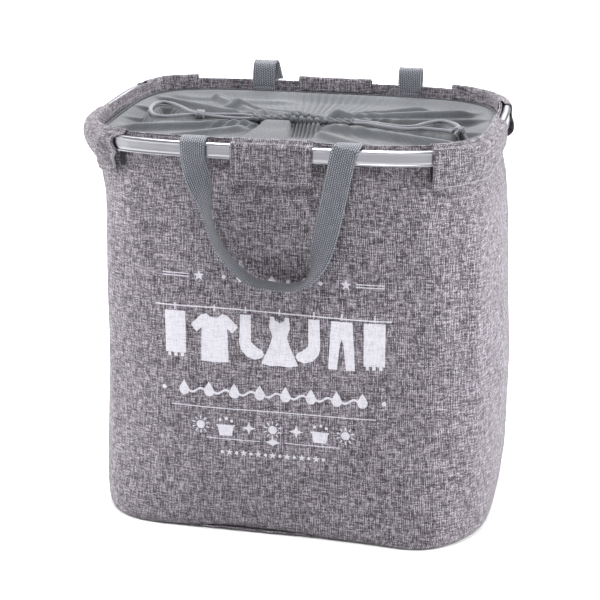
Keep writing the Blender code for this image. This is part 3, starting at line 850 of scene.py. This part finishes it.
def make_hem(materials):
    """The doubled hem inside the rail, stitched just above the cover."""
    along = np.linspace(0, AROUND, 560)
    heights = np.concatenate([np.linspace(0.4215, 0.4462, 11), [0.4476, 0.4485, 0.4489]])
    bead = 0.0004 * hump(heights, 0.4465, 0.0025)[:, None]
    sway = 0.0003 * np.sin(along / 0.021) + 0.0002 * np.sin(along / 0.009 + 1)
    loose = 0.0032 * hump(along, at_y(0.088, -1), 0.022)
    drop = 0.0005 * np.sin(along / 0.034 + 2) * smoothstep(heights, 0.44, 0.4489)[:, None]
    inset = HEM_INSET + bead + (sway + loose)
    grid = rail(along, -inset, heights[:, None] + drop)
    grid[..., 2] -= rear_drop(grid[..., 1], heights[:, None])
    coords = stacked(along, heights[:, None])
    hem = sheet_object("top_hem_cloth", grid, coords, materials["cloth"], side=-1)
    place(hem, "rim", "cloth", "top_hem")
    path = rail(along, -HEM_INSET - CLOTH - 0.0005 - loose, 0.4385)
    stitches = make_stitches("hem_stitches", [(path, -outward(along))], materials["thread"])
    place(stitches, "rim")


# ---------------------------------------------------------------- folds over the rail

# Underside of a tab or sleeve, from its seam inside the hem, over the rail and down outside:
# offset from the rail's centre line, and height
FOLD_PATH = [
    (-0.0093, 0.4345), (-0.0092, 0.4400), (-0.0091, 0.4460), (-0.0082, 0.4492),
    (-0.0064, 0.4499), (-0.0046, 0.4488), (-0.0026, 0.4466), (0.0000, 0.4461),
    (0.0030, 0.4459), (0.0044, 0.4440), (0.0046, 0.4380), (0.0045, 0.4310),
    (0.0034, 0.4200), (0.0006, 0.4105), (-0.0012, 0.4030),
]
FOLD_TOP = 0.38  # share of the path's length where it turns down outside


def fold_shape(name, start, end):
    """Tab or sleeve points: columns along the rail, rows from inside, over it and down outside."""
    columns = max(24, int((end - start) / 0.0028))
    along = np.linspace(start, end, columns)
    path = resample(curve_through(FOLD_PATH, 8), 56)
    down = lengths(path)
    share = (down / down[-1])[:, None]
    s = along - start
    width = end - start
    edge = np.minimum(s, width - s)
    hem = np.maximum(1 - smoothstep(edge, 0.0050, 0.0062), smoothstep(share, 0.885, 0.91))
    offset = path[:, :1] + 0.0008 * hem * smoothstep(share, FOLD_TOP, FOLD_TOP + 0.08)
    offset = offset + SHAPES[name](s, width, share) * smoothstep(share, FOLD_TOP, 0.5)
    ripple = np.sin(s / 0.013 + len(name)) + 0.6 * np.sin(s / 0.0071 + 2)
    offset = offset + 0.0003 * ripple * smoothstep(share, 0.3, 0.6)
    height = path[:, 1:] + 0.0003 * ripple * hump(share, 0.25, 0.12)
    height = height - 0.0008 * np.sin(s / 0.011 + len(name)) * smoothstep(share, 0.8, 1.0)
    if name == "corner_sleeve_rear_right":
        height = height + 0.011 * (1 - smoothstep(s, 0.0, 0.03)) * smoothstep(share, 0.55, 1.0)
    places = along
    if name == "corner_sleeve_front_left":
        back = 0.010 * hump(share, 0.50, 0.13) + 0.011 * smoothstep(share, 0.58, 0.75)
        places = places - back * (s / width) ** 5
    if name == "corner_sleeve_front_right":
        places = places - 0.010 * hump(share, 0.48, 0.16) * (s / width) ** 5
    grid = rail(places, offset, height)
    return along, grid, stacked(along, down[:, None])


def belly(s, width, share, size, middle=0.75, spread=0.16):
    """Slack cloth: fullest part way down and away from the side edges."""
    return size * hump(share, middle, spread) * np.sin(pi * np.clip(s / width, 0, 1)) ** 0.6


def tab_shape(s, width, share):
    curl = 0.0026 * smoothstep(share, 0.90, 1.0) * (0.4 + 0.6 * smoothstep(s / width, 0.7, 1.0))
    return belly(s, width, share, 0.0010) + curl + 0.0004 * np.sin(s / 0.009) * share


def front_left_shape(s, width, share):
    """A full sleeve that runs on into the wall below."""
    folds = 0.0012 * np.sin(s / 0.016 + 3 * share) * hump(share, 0.72, 0.15)
    deep = 0.0021 + 0.0062 * (1 - smoothstep(s, 0.075, 0.12))
    return belly(s, width, share, 0.0014, 0.50, 0.10) + folds - deep * smoothstep(share, 0.58, 0.86)


def front_right_shape(s, width, share):
    folds = 0.0013 * np.sin(s / 0.014 + 2 * share + 1) * smoothstep(share, 0.55, 0.9)
    tuck = 0.0020 * smoothstep(s, 0.05, 0.09) * smoothstep(share, 0.72, 0.97)
    return belly(s, width, share, 0.0018) + folds * smoothstep(width - s, 0, 0.04) - tuck


def rear_left_shape(s, width, share):
    deep = 0.0045 * smoothstep(s, width - 0.06, width - 0.02) * smoothstep(share, 0.66, 1.0)
    return belly(s, width, share, 0.0030) + 0.0014 * np.sin(s / 0.018 + 4 * share) * share - deep


def rear_right_shape(s, width, share):
    """Its front end hangs free of the wall as a flap."""
    free = 0.0080 * (1 - smoothstep(s, 0.0, 0.045)) * smoothstep(share, 0.55, 1.0)
    return free + belly(s, width, share, 0.0030) + 0.0012 * np.sin(s / 0.015) * share


SHAPES = {
    "front_tab": tab_shape,
    "rear_tab": tab_shape,
    "corner_sleeve_front_left": front_left_shape,
    "corner_sleeve_front_right": front_right_shape,
    "corner_sleeve_rear_left": rear_left_shape,
    "corner_sleeve_rear_right": rear_right_shape,
}


def fold_spans():
    return {
        "front_tab": (at_x(-0.041, -1) - AROUND, at_x(0.044, -1)),
        "rear_tab": (at_x(0.051, 1), at_x(-0.0355, 1)),
        "corner_sleeve_front_right": (at_x(0.164, -1), at_y(0.0, 1)),
        "corner_sleeve_rear_right": (at_y(0.075, 1), at_x(0.150, 1)),
        "corner_sleeve_rear_left": (at_x(-0.158, 1), at_y(0.095, -1)),
        "corner_sleeve_front_left": (at_y(-0.030, -1), at_x(-0.1585, -1)),
    }


def grid_line(grid, row=None, column=None):
    """A line on a grid's face, lifted by the cloth's thickness, with its normals."""
    normals = unit(np.cross(np.gradient(grid, axis=1), np.gradient(grid, axis=0)))
    lifted = grid + normals * STITCH_LIFT
    if row is not None:
        return lifted[row, 2:-2], normals[row, 2:-2]
    return lifted[4:-22, column], normals[4:-22, column]


def make_folds(materials):
    lines = []
    spans = fold_spans()
    for name, (start, end) in spans.items():
        along, grid, coords = fold_shape(name, start, end)
        grid, coords = grid[::-1], coords[::-1]
        # Tabs and sleeves take the darker copy of the wall's cloth, which is painted shade.
        fold = sheet_object(name + "_cloth", grid, coords, materials["cloth_painted_shade"], side=1)
        place(fold, "rim", "cloth", name)
        for column in (2, len(along) - 3):
            lines.append(grid_line(grid, column=column))
        lines.append(grid_line(grid, row=4))
    place(make_stitches("fold_stitches", lines, materials["thread"], radius=0.00042), "rim")
    for corner, end, first in (("front_left", 1, -0.0085), ("front_right", 0, 0.0),
                               ("rear_left", 0, -0.002), ("rear_right", 1, -0.004)):
        along = spans["corner_sleeve_" + corner][end] + np.linspace(first, first + 0.006, 7)
        heights = np.linspace(0.412, 0.427, 12)
        grid = rail(along, -0.0050, heights[:, None])
        tape = sheet_object("hook_tape_" + corner + "_strip", grid, surface_coords(grid),
                            materials["tape"], thickness=0.0006)
        place(tape, "rim", "tape", "hook_tape_" + corner)


# ---------------------------------------------------------------- webbing


def strap_grid(stations, steps):
    path = curve_through([station[:3] for station in stations], steps)
    across = curve_through([(*station[3:], 0) for station in stations], steps)
    tangent = unit(np.gradient(path, axis=0))
    across = unit(across - tangent * (across * tangent).sum(axis=1)[:, None])
    shares = np.linspace(-0.5, 0.5, WEBBING_COLUMNS)
    normal = np.cross(across, tangent)
    cup = 0.0005 * (2 * shares) ** 4
    width = shares * WEBBING_WIDTH
    grid = path[:, None] + across[:, None] * width[:, None] + normal[:, None] * cup[:, None]
    return path, grid, stacked(width, lengths(path)[:, None])


def with_sewn_ends(stations):
    """The strap's stations, and its run inside the hem before and after the hinge."""
    side = 1 if stations[0][1] > 0 else -1
    inner = side * (RAIL_Y - ANCHOR_INSET)
    inside = [(inner, 0.4385), (inner + side * 0.0003, 0.4450)]
    if side > 0:
        inside.append((inner + 0.0020, 0.4560))
    ends = [[(station[0], y, z, *station[3:]) for y, z in inside]
            for station in (stations[0], stations[-1])]
    return ends[0] + stations + ends[1][::-1]


def make_handle(name, stations, materials):
    """One webbing loop, which bends where it leaves the hem."""
    path, grid, coords = strap_grid(with_sewn_ends(stations), 8)
    strap = sheet_object(name + "_webbing", grid, coords, materials["webbing"],
                         thickness=WEBBING, side=0)
    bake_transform(strap)
    label(strap, name)


def make_anchors(name, stations, materials):
    """The strap's ends, sewn flat inside the hem with a crossed box of stitches."""
    side = -1 if name == "front" else 1
    inner = side * (RAIL_Y - ANCHOR_INSET)
    for end, station in (("left", stations[0]), ("right", stations[-1])):
        x = station[0]
        rise = [(x, inner, z, -side, 0) for z in (0.385, 0.400, 0.420, 0.4383)]
        _, grid, coords = strap_grid(rise, 6)
        node_name = f"handle_anchor_{name}_{end}"
        anchor = sheet_object(node_name + "_webbing", grid, coords, materials["webbing"],
                              thickness=WEBBING, side=0)
        place(anchor, "rim", "webbing", node_name)
        box = [(-0.009, 0.390), (0.009, 0.390), (0.009, 0.412), (-0.009, 0.412), (-0.009, 0.390),
               (0.009, 0.412), (0.009, 0.390), (-0.009, 0.412)]
        path = np.array([(x + across, inner - side * 0.0009, z) for across, z in box])
        normals = np.tile((0.0, -side, 0.0), (len(path), 1))
        stitches = make_stitches(node_name + "_stitches", [(path, normals)],
                                 materials["dark_thread"])
        place(stitches, "rim")


# ---------------------------------------------------------------- drawstring cover


def cord_height(x):
    """Height of a drawstring's middle, as in the CAD."""
    slope = (HINGE_Z - GATHER_Z) / (HINGE_X - GATHER_X)
    return GATHER_Z + slope * (np.abs(x) - GATHER_X) + 0.0043


def cord_path(points):
    flat = curve_through(points, CORD_STEPS)
    return np.column_stack([flat, cord_height(flat[:, 0])])


# Signs of x and y at the two corners of each cover cloth, counter-clockwise from above
FLAP_ENDS = {
    "front": ((-1, -1), (1, -1)),
    "rear": ((1, 1), (-1, 1)),
    "left": ((-1, 1), (-1, -1)),
    "right": ((1, -1), (1, 1)),
}


def flap_outline(name, share):
    """Place on the rim, and inner and outer ends of the fold, at a share of a cloth's width."""
    signs = np.array(FLAP_ENDS[name])
    first, last = [at_turn(x / RAIL_X, y / RAIL_Y) for x, y in signs * FLAP_CORNER]
    if last < first:
        first -= AROUND
    along = first + (last - first) * share
    outer = rail(along, -YOKE_INSET + 0.0024, 0.0)[:, :2]
    start, end = signs * (GATHER_X, GATHER_Y)
    return along, start + (end - start) * share[:, None], outer


def pleats(turns, sharp):
    """Rounded ridges with narrow valleys, from -1 to 1."""
    return 2 * (0.5 + 0.5 * np.sin(turns)) ** sharp - 1


def long_fold(x, y, start, end, width, size):
    """A rounded fold from one (x, y) to another, steeper on its front side."""
    share, apart = beside_line(x, y, start, end)
    wide = np.where(apart * np.sign(end[0] - start[0]) > 0, 0.45 * width, 1.5 * width)
    ends = smoothstep(share, -0.05, 0.12) * (1 - smoothstep(share, 0.86, 1.05))
    return size * np.exp(-((apart / wide) ** 2)) * ends


# Long folds of the cover: ends (x, y), width and size
COVER_FOLDS = [
    ((-0.046, 0.010), (-0.192, 0.088), 0.0075, 0.0080),
    ((-0.040, 0.016), (-0.135, 0.118), 0.0070, 0.0065),
    ((-0.054, 0.004), (-0.203, 0.034), 0.0065, 0.0060),
    ((-0.056, -0.004), (-0.200, -0.018), 0.0060, 0.0045),
    ((-0.046, -0.012), (-0.194, -0.062), 0.0095, 0.0085),
    ((-0.052, -0.026), (-0.160, -0.108), 0.0080, 0.0060),
    ((0.022, 0.018), (0.186, 0.084), 0.0095, 0.0095),
    ((0.040, 0.010), (0.200, 0.044), 0.0080, 0.0080),
    ((0.046, -0.004), (0.202, -0.020), 0.0070, 0.0060),
    ((0.022, -0.010), (0.192, -0.078), 0.0095, 0.0095),
    ((0.018, -0.030), (0.130, -0.118), 0.0080, 0.0060),
    ((-0.110, 0.074), (0.006, 0.047), 0.0060, 0.0065),
    ((0.020, 0.050), (0.130, 0.104), 0.0060, 0.0060),
    ((-0.180, 0.105), (-0.030, 0.112), 0.0070, 0.0030),
]


def cover_height(along, x, y, out, rim):
    """Height of the cover, a slack cloth drawn from the hem to the gather.

    along is the fold's place at the rim, rim its (x, y) there, and out goes from 0 at the
    gather to 1 at the rim. Long folds fan out to both ends, with puffs and pleats between."""
    end = smoothstep(np.abs(rim[0]), 0.09, 0.16)
    rear = (1 - end) * (rim[1] > 0)
    front = (1 - end) * (rim[1] < 0)
    wander = 1.5 * np.sin(along / 0.055 + 2.0 * out + 0.6) + 0.7 * np.sin(along / 0.023 + 1.7)
    z = 0.4272 + 0.0060 * smoothstep(out, 0.80, 0.97) - 0.0020 * smoothstep(out, 0.97, 1.0)
    z = z - 0.0022 * hump(out, 0.50, 0.30) * (1 - end)
    for start, stop, width, size in COVER_FOLDS:
        z = z + long_fold(x, y, start, stop, width, size)
    crimps = pleats(along / 0.0036 + 2 * wander, 1.3) * hump(out, 0.16, 0.12)
    z = z + 0.0011 * end * crimps

    slow = pleats(along / 0.0125 + wander, 1.4) * hump(out, 0.55, 0.28)
    upright = pleats(along / 0.0016 + wander, 1.2) * smoothstep(out, 0.25, 0.6)
    upright = upright * (1 - smoothstep(out, 0.9, 1.0)) * hump(x, 0.002, 0.05)
    z = z + rear * (0.0008 * slow + 0.0007 * upright)
    z = z + 0.0100 * hump(x, -0.030, 0.020) * hump(y, 0.027, 0.011)
    z = z - 0.0025 * hump(x, 0.004, 0.009) * hump(y, 0.024, 0.018)
    z = z + 0.0090 * hump(x, 0.031, 0.013) * hump(y, 0.026, 0.012)

    ruffles = pleats(x / 0.00074 + 1.2 * np.sin(x / 0.006), 0.8)
    strong = smoothstep(x, -0.010, -0.006) * (1 - smoothstep(x, 0.018, 0.026))
    slope = 0.0065 * hump(y, -0.009, 0.008) - 0.0045 * hump(y, -0.030, 0.014)
    z = z + front * strong * (slope + 0.0019 * ruffles * hump(y, -0.016, 0.018))
    spread = 0.30 * np.clip(-y - 0.006, 0, 0.05)
    flap = smoothstep(x, -0.040 - spread, -0.036 - spread) * (
        1 - smoothstep(x, -0.013 + 0.4 * spread, -0.010 + 0.4 * spread))
    return z + (0.0080 * hump(y, -0.012, 0.016) + 0.0045 * hump(y, -0.040, 0.024)) * flap * (y < 0)


def near_cords(x, y, z, cords):
    """The cloth lies close under the drawstrings."""
    for path in cords:
        spread = np.full(np.shape(x), 1.0)
        for point in path[::4]:
            spread = np.minimum(spread, np.hypot(x - point[0], y - point[1]))
        weight = np.exp(-((spread / 0.0075) ** 4))
        z = z * (1 - weight) + (cord_height(x) - CORD_DIAMETER / 2 - CLOTH - 0.0002) * weight
    return z


def make_cover(materials, cords):
    """Four cloths drawn to the gather, with slack taken up by their folds."""
    out = np.linspace(0, 1, 80)[:, None] ** 1.3
    for name in FLAP_ENDS:
        side = -1 if name in ("front", "left") else 1
        if name in ("front", "rear"):
            columns, hinge, flat, area = 520, (0, side * HINGE_Y, HINGE_Z), (0.40, 0.130), 0.036
        else:
            columns, hinge, flat, area = 300, (side * HINGE_X, 0, HINGE_Z), (0.28, 0.150), 0.0235
        along, inner, outer = flap_outline(name, np.linspace(0, 1, columns))
        x, y = [a + (b - a) * out for a, b in zip(inner.T, outer.T)]
        z = cover_height(along, x, y, out, outer.T)
        z = near_cords(x, y, z, cords)
        grid = np.stack([x, y, z], -1)[::-1]
        cloth = sheet_object(f"closure_{name}_cloth", grid, surface_coords(grid),
                             materials["cover"], thickness=0.0008, side=0)
        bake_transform(cloth)
        label(cloth, "closure_" + name)
    make_casings(materials)
    make_facing(materials)


def make_casings(materials):
    """Two ruffled casings round the drawstrings, with a slit between them."""
    for name, side in (("front", -1), ("rear", 1)):
        x = np.linspace(-0.0640, 0.0590, 520)
        phase = x / 0.00074 + 1.4 * np.sin(x / 0.008 + side) + (0 if side > 0 else 2)
        ruffle = 0.5 + 0.5 * np.sin(phase)
        tight = hump(x, -0.002, 0.043) ** 2
        radius = 0.0019 + 0.0008 * tight + (0.0008 + 0.0017 * tight) * ruffle**0.7
        sway = 0.0007 * np.sin(x / 0.008 + side) + 0.0004 * np.sin(phase + 1)
        lift = 0.0007 * np.sin(x / 0.013 + 2 * side) + 0.0006 * np.sin(0.5 * phase)
        path = np.column_stack([x, side * 0.0062 + sway, GATHER_Z + 0.0036 + 0.0016 * tight + lift])
        casing = tube_object(f"casing_{name}_cloth", path, radius, materials["gathered"], sides=20)
        place(casing, "closure_" + name, "cover", "casing_" + name)


def make_facing(materials):
    """The cover's outer edge, turned up and sewn to the inside of the hem."""
    along = np.linspace(0, AROUND, 420)
    heights = np.array([0.4270, 0.4295, 0.4318, 0.4334, 0.4340])
    sway = 0.0003 * np.sin(along / 0.012)
    grid = rail(along, -YOKE_INSET + 0.0030 + sway * 0.5, heights[:, None])
    coords = stacked(along, heights[:, None])
    facing = sheet_object("closure_facing", grid, coords, materials["cover"], side=-1)
    place(facing, "rim", "cover", "closure_yoke")


def make_cords(materials, paths):
    """The drawstrings, with a knot that holds the left loop and one at the right ends."""
    for side, path, radius in (("left", left_knot(), 0.0019), ("right", right_knot(), 0.0020)):
        knot = tube_object(f"knot_{side}_braid", path, radius, materials["cord"])
        place(knot, "closure_" + side, "cord", "knot_" + side)
    for name, path in paths.items():
        side = name.split("_")[1]
        cord = tube_object(name + "_braid", path, CORD_DIAMETER / 2, materials["cord"])
        place(cord, "closure_" + side, "cord", name)


def left_knot():
    """Three turns of cord wrapped round the two strands."""
    x, y = LEFT_KNOT
    turn = np.linspace(0, 6 * pi, 110)
    return np.column_stack([
        x + 0.0042 * (turn / (3 * pi) - 1),
        y + 0.0062 * np.cos(turn),
        cord_height(x) + np.maximum(0.0037 * np.sin(turn), -0.0016)])


def right_knot():
    """An overhand knot."""
    x, y = RIGHT_KNOT
    turn = np.linspace(0, 2 * pi, 120)
    return np.column_stack([
        x + 0.0015 * (np.sin(turn) + 2 * np.sin(2 * turn)),
        y + 0.0017 * (np.cos(turn) - 2 * np.cos(2 * turn)),
        cord_height(x) + 0.0020 - 0.0022 * np.sin(3 * turn)])


# ---------------------------------------------------------------- printed pattern

# Shapes are closed outlines in units of their own height, x to the right and y up


def disc():
    return [(0.5 * cos(turn), 0.5 * sin(turn)) for turn in (2 * pi * i / 32 for i in range(32))]


def star(points=5, inner=0.40):
    reach = [0.5, 0.5 * inner] * points
    return [(radius * sin(pi * i / points), radius * cos(pi * i / points))
            for i, radius in enumerate(reach)]


def bar(width, height):
    return [(-width / 2, -height / 2), (width / 2, -height / 2), (width / 2, height / 2),
            (-width / 2, height / 2)]


def sock(flip=1):
    foot = [(-0.12, 0.5), (0.12, 0.5), (0.12, -0.10), (0.24, -0.22), (0.36, -0.28), (0.40, -0.38),
            (0.34, -0.46), (0.20, -0.50), (0.02, -0.44), (-0.10, -0.30), (-0.14, -0.12)]
    return [(flip * x, y) for x, y in foot]


def drop():
    return [(0.0, 0.55)] + [(0.33 * cos(a), -0.12 + 0.36 * sin(a))
                            for a in np.linspace(0.55, -pi - 0.55, 24)]


def mirrored(*right):
    """A left-right symmetric outline from its right half, given from the top down."""
    return [*right, *((-x, y) for x, y in reversed(right) if x > 0)]


SHIRT = mirrored(
    (0.0, 0.40), (0.08, 0.41), (0.15, 0.48), (0.26, 0.45), (0.46, 0.24), (0.35, 0.10),
    (0.25, 0.19), (0.26, -0.10), (0.27, -0.48), (0.0, -0.50))
TROUSERS = mirrored(
    (0.0, 0.50), (0.21, 0.50), (0.23, 0.20), (0.27, -0.50), (0.09, -0.50), (0.03, 0.05),
    (0.0, 0.12))
DRESS = mirrored(
    (0.0, 0.38), (0.08, 0.42), (0.11, 0.50), (0.18, 0.50), (0.20, 0.28), (0.14, 0.10),
    (0.20, -0.10), (0.36, -0.46), (0.18, -0.50), (0.0, -0.49))
BASIN = mirrored((0.0, 0.28), (0.62, 0.28), (0.62, 0.16), (0.54, 0.14), (0.42, -0.5), (0.0, -0.5))
TOWEL = [
    (-0.22, 0.5), (0.22, 0.5), (0.22, -0.42), (0.17, -0.42), (0.17, -0.5), (0.10, -0.5),
    (0.10, -0.42), (0.03, -0.42), (0.03, -0.5), (-0.04, -0.5), (-0.04, -0.42), (-0.11, -0.42),
    (-0.11, -0.5), (-0.17, -0.5), (-0.17, -0.42), (-0.22, -0.42)]
DIAMOND = [(0, -0.5), (0.35, 0), (0, 0.5), (-0.35, 0)]
PEG = [(-0.12, -0.5), (-0.04, -0.5), (0.0, -0.1), (0.04, -0.5), (0.12, -0.5), (0.10, 0.5),
       (-0.10, 0.5)]
LOZENGE = [(-1.0, 0), (-0.4, 0.22), (0, 0.5), (0.4, 0.22), (1.0, 0), (0.4, -0.22), (0, -0.5),
           (-0.4, -0.22)]


def wavy(width, swing, thick, turns):
    """A wave of even thickness, in metres."""
    x = np.linspace(-width / 2, width / 2, 64)
    y = swing * np.sin(2 * pi * turns * x / width)
    return list(zip(x, y + thick / 2)) + list(zip(x[::-1], y[::-1] - thick / 2))


def print_outlines():
    """Every printed shape, as outlines in metres of x and height on the front wall."""
    made = []

    def add(shape, x, z, size=1.0, turn=0.0):
        made.append([(x + size * (px * cos(turn) - pz * sin(turn)),
                      z + size * (px * sin(turn) + pz * cos(turn))) for px, pz in shape])

    # stars and lines behind the handle
    for side in (-1, 1):
        add(bar(0.030, 0.0011), side * 0.1045, 0.3015)
        add(bar(0.030, 0.0011), side * 0.1045, 0.2985)
        add(star(), side * 0.079, 0.300, 0.0125)
    for i, x in enumerate(np.linspace(-0.052, 0.052, 7)):
        add(DIAMOND if i % 2 else disc(), x, 0.300, 0.011 if i % 2 else 0.0045)

    # washing on a line
    add(wavy(0.256, -0.0016, 0.0014, 0.5), 0, 0.2640)
    row = [(TOWEL, -0.106, 0.052), (SHIRT, -0.063, 0.056), (sock(), -0.029, 0.050),
           (DRESS, 0.008, 0.056), (sock(-1), 0.045, 0.050), (TROUSERS, 0.075, 0.054),
           (TOWEL, 0.110, 0.052)]
    for shape, x, size in row:
        add(shape, x, 0.2595 - size / 2, size)
        add(PEG, x, 0.2645, 0.0075)

    # waves between drops
    add(disc(), -0.121, 0.170, 0.005)
    add(disc(), 0.121, 0.170, 0.005)
    for x in np.linspace(-0.098, 0.098, 8):
        add(drop(), x, 0.1715, 0.017)
    for x in np.linspace(-0.084, 0.084, 7):
        add(wavy(0.020, 0.0024, 0.0026, 1), x, 0.170)
    add(bar(0.226, 0.0011), 0, 0.1510)

    # basins, suns and stars
    for x in (-0.052, 0.052):
        add(BASIN, x, 0.1275, 0.0165)
        for bubble, height in ((-0.006, 0.1375), (0.001, 0.1395), (0.007, 0.1370)):
            add(disc(), x + bubble, height, 0.0034)
    for x in (-0.080, 0.0, 0.080):
        add(disc(), x, 0.1300, 0.0095)
        for ray in range(10):
            turn = 2 * pi * ray / 10
            add(bar(0.0013, 0.0038), x + 0.0083 * sin(turn), 0.1300 + 0.0083 * cos(turn), 1, -turn)
    for x in (-0.026, 0.026):
        add(star(4, 0.35), x, 0.1300, 0.016)

    # thin line with a small ornament, and a row of stars
    for side in (-1, 1):
        add(bar(0.060, 0.0009), side * 0.044, 0.1155)
    add(LOZENGE, 0, 0.1155, 0.0085)
    for i, x in enumerate(np.linspace(-0.056, 0.056, 15)):
        add(star() if i % 2 else disc(), x, 0.1000, 0.0085 if i % 2 else 0.0036)
    return made


def make_print(materials):
    """The printed shapes, cut into small faces that follow the front wall."""
    work = bmesh.new()
    for outline in print_outlines():
        points = [Vector((x, z, 0)) for x, z in outline]
        verts = [work.verts.new(point) for point in points]
        for triangle in tessellate_polygon([points]):
            try:
                work.faces.new([verts[i] for i in triangle])
            except ValueError:
                pass
    for axis, low, high in ((0, -0.130, 0.130), (1, 0.090, 0.310)):
        for cut in np.arange(low, high, 0.005):
            normal = Vector((1, 0, 0)) if axis == 0 else Vector((0, 1, 0))
            geometry = work.verts[:] + work.edges[:] + work.faces[:]
            bmesh.ops.bisect_plane(work, geom=geometry, plane_co=normal * cut, plane_no=normal,
                                   dist=1e-6)
    bmesh.ops.recalc_face_normals(work, faces=work.faces)
    work.verts.index_update()
    flat = np.array([vert.co[:2] for vert in work.verts])
    faces = [[vert.index for vert in face.verts] for face in work.faces]
    work.free()
    turn = np.linspace(-0.9 * pi / 2, 0.9 * pi / 2, 2001)
    along = np.interp(np.mod(turn, 2 * pi), RING_TURN, RING_LENGTH)
    along = np.where(turn < 0, along - AROUND, along)
    shares = np.interp(np.mod(along, AROUND), RING_LENGTH, RING_X)
    right, left, _ = outline_at(flat[:, 1])
    half_x = np.where(flat[:, 0] > 0, right, left) + WALL_INSET
    places = np.interp(flat[:, 0] / half_x, shares, along)
    points = wall(places, flat[:, 1], 0.0003)
    coords = np.column_stack([places, flat[:, 1]])
    ink = mesh_object("printed_pattern", points, faces, materials["ink"], coords)
    collapse(ink)


# ---------------------------------------------------------------- everything


def main():
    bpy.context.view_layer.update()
    make_camera()
    materials = make_materials()
    paths = {name: cord_path(points) for name, points in CORDS.items()}
    make_cords(materials, paths)
    make_stage()
    make_walls(materials)
    make_base(materials)
    make_rail(materials)
    make_hem(materials)
    make_folds(materials)
    make_handle("front_handle", FRONT_HANDLE, materials)
    make_handle("rear_handle", REAR_HANDLE, materials)
    make_anchors("front", FRONT_HANDLE, materials)
    make_anchors("rear", REAR_HANDLE, materials)
    make_cover(materials, paths.values())
    make_print(materials)


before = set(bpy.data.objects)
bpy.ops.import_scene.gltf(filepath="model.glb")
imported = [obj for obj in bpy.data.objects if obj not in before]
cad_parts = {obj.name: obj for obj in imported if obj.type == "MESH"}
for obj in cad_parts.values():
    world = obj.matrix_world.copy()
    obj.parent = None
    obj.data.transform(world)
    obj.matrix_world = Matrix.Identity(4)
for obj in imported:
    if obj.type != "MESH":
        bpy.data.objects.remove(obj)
main()
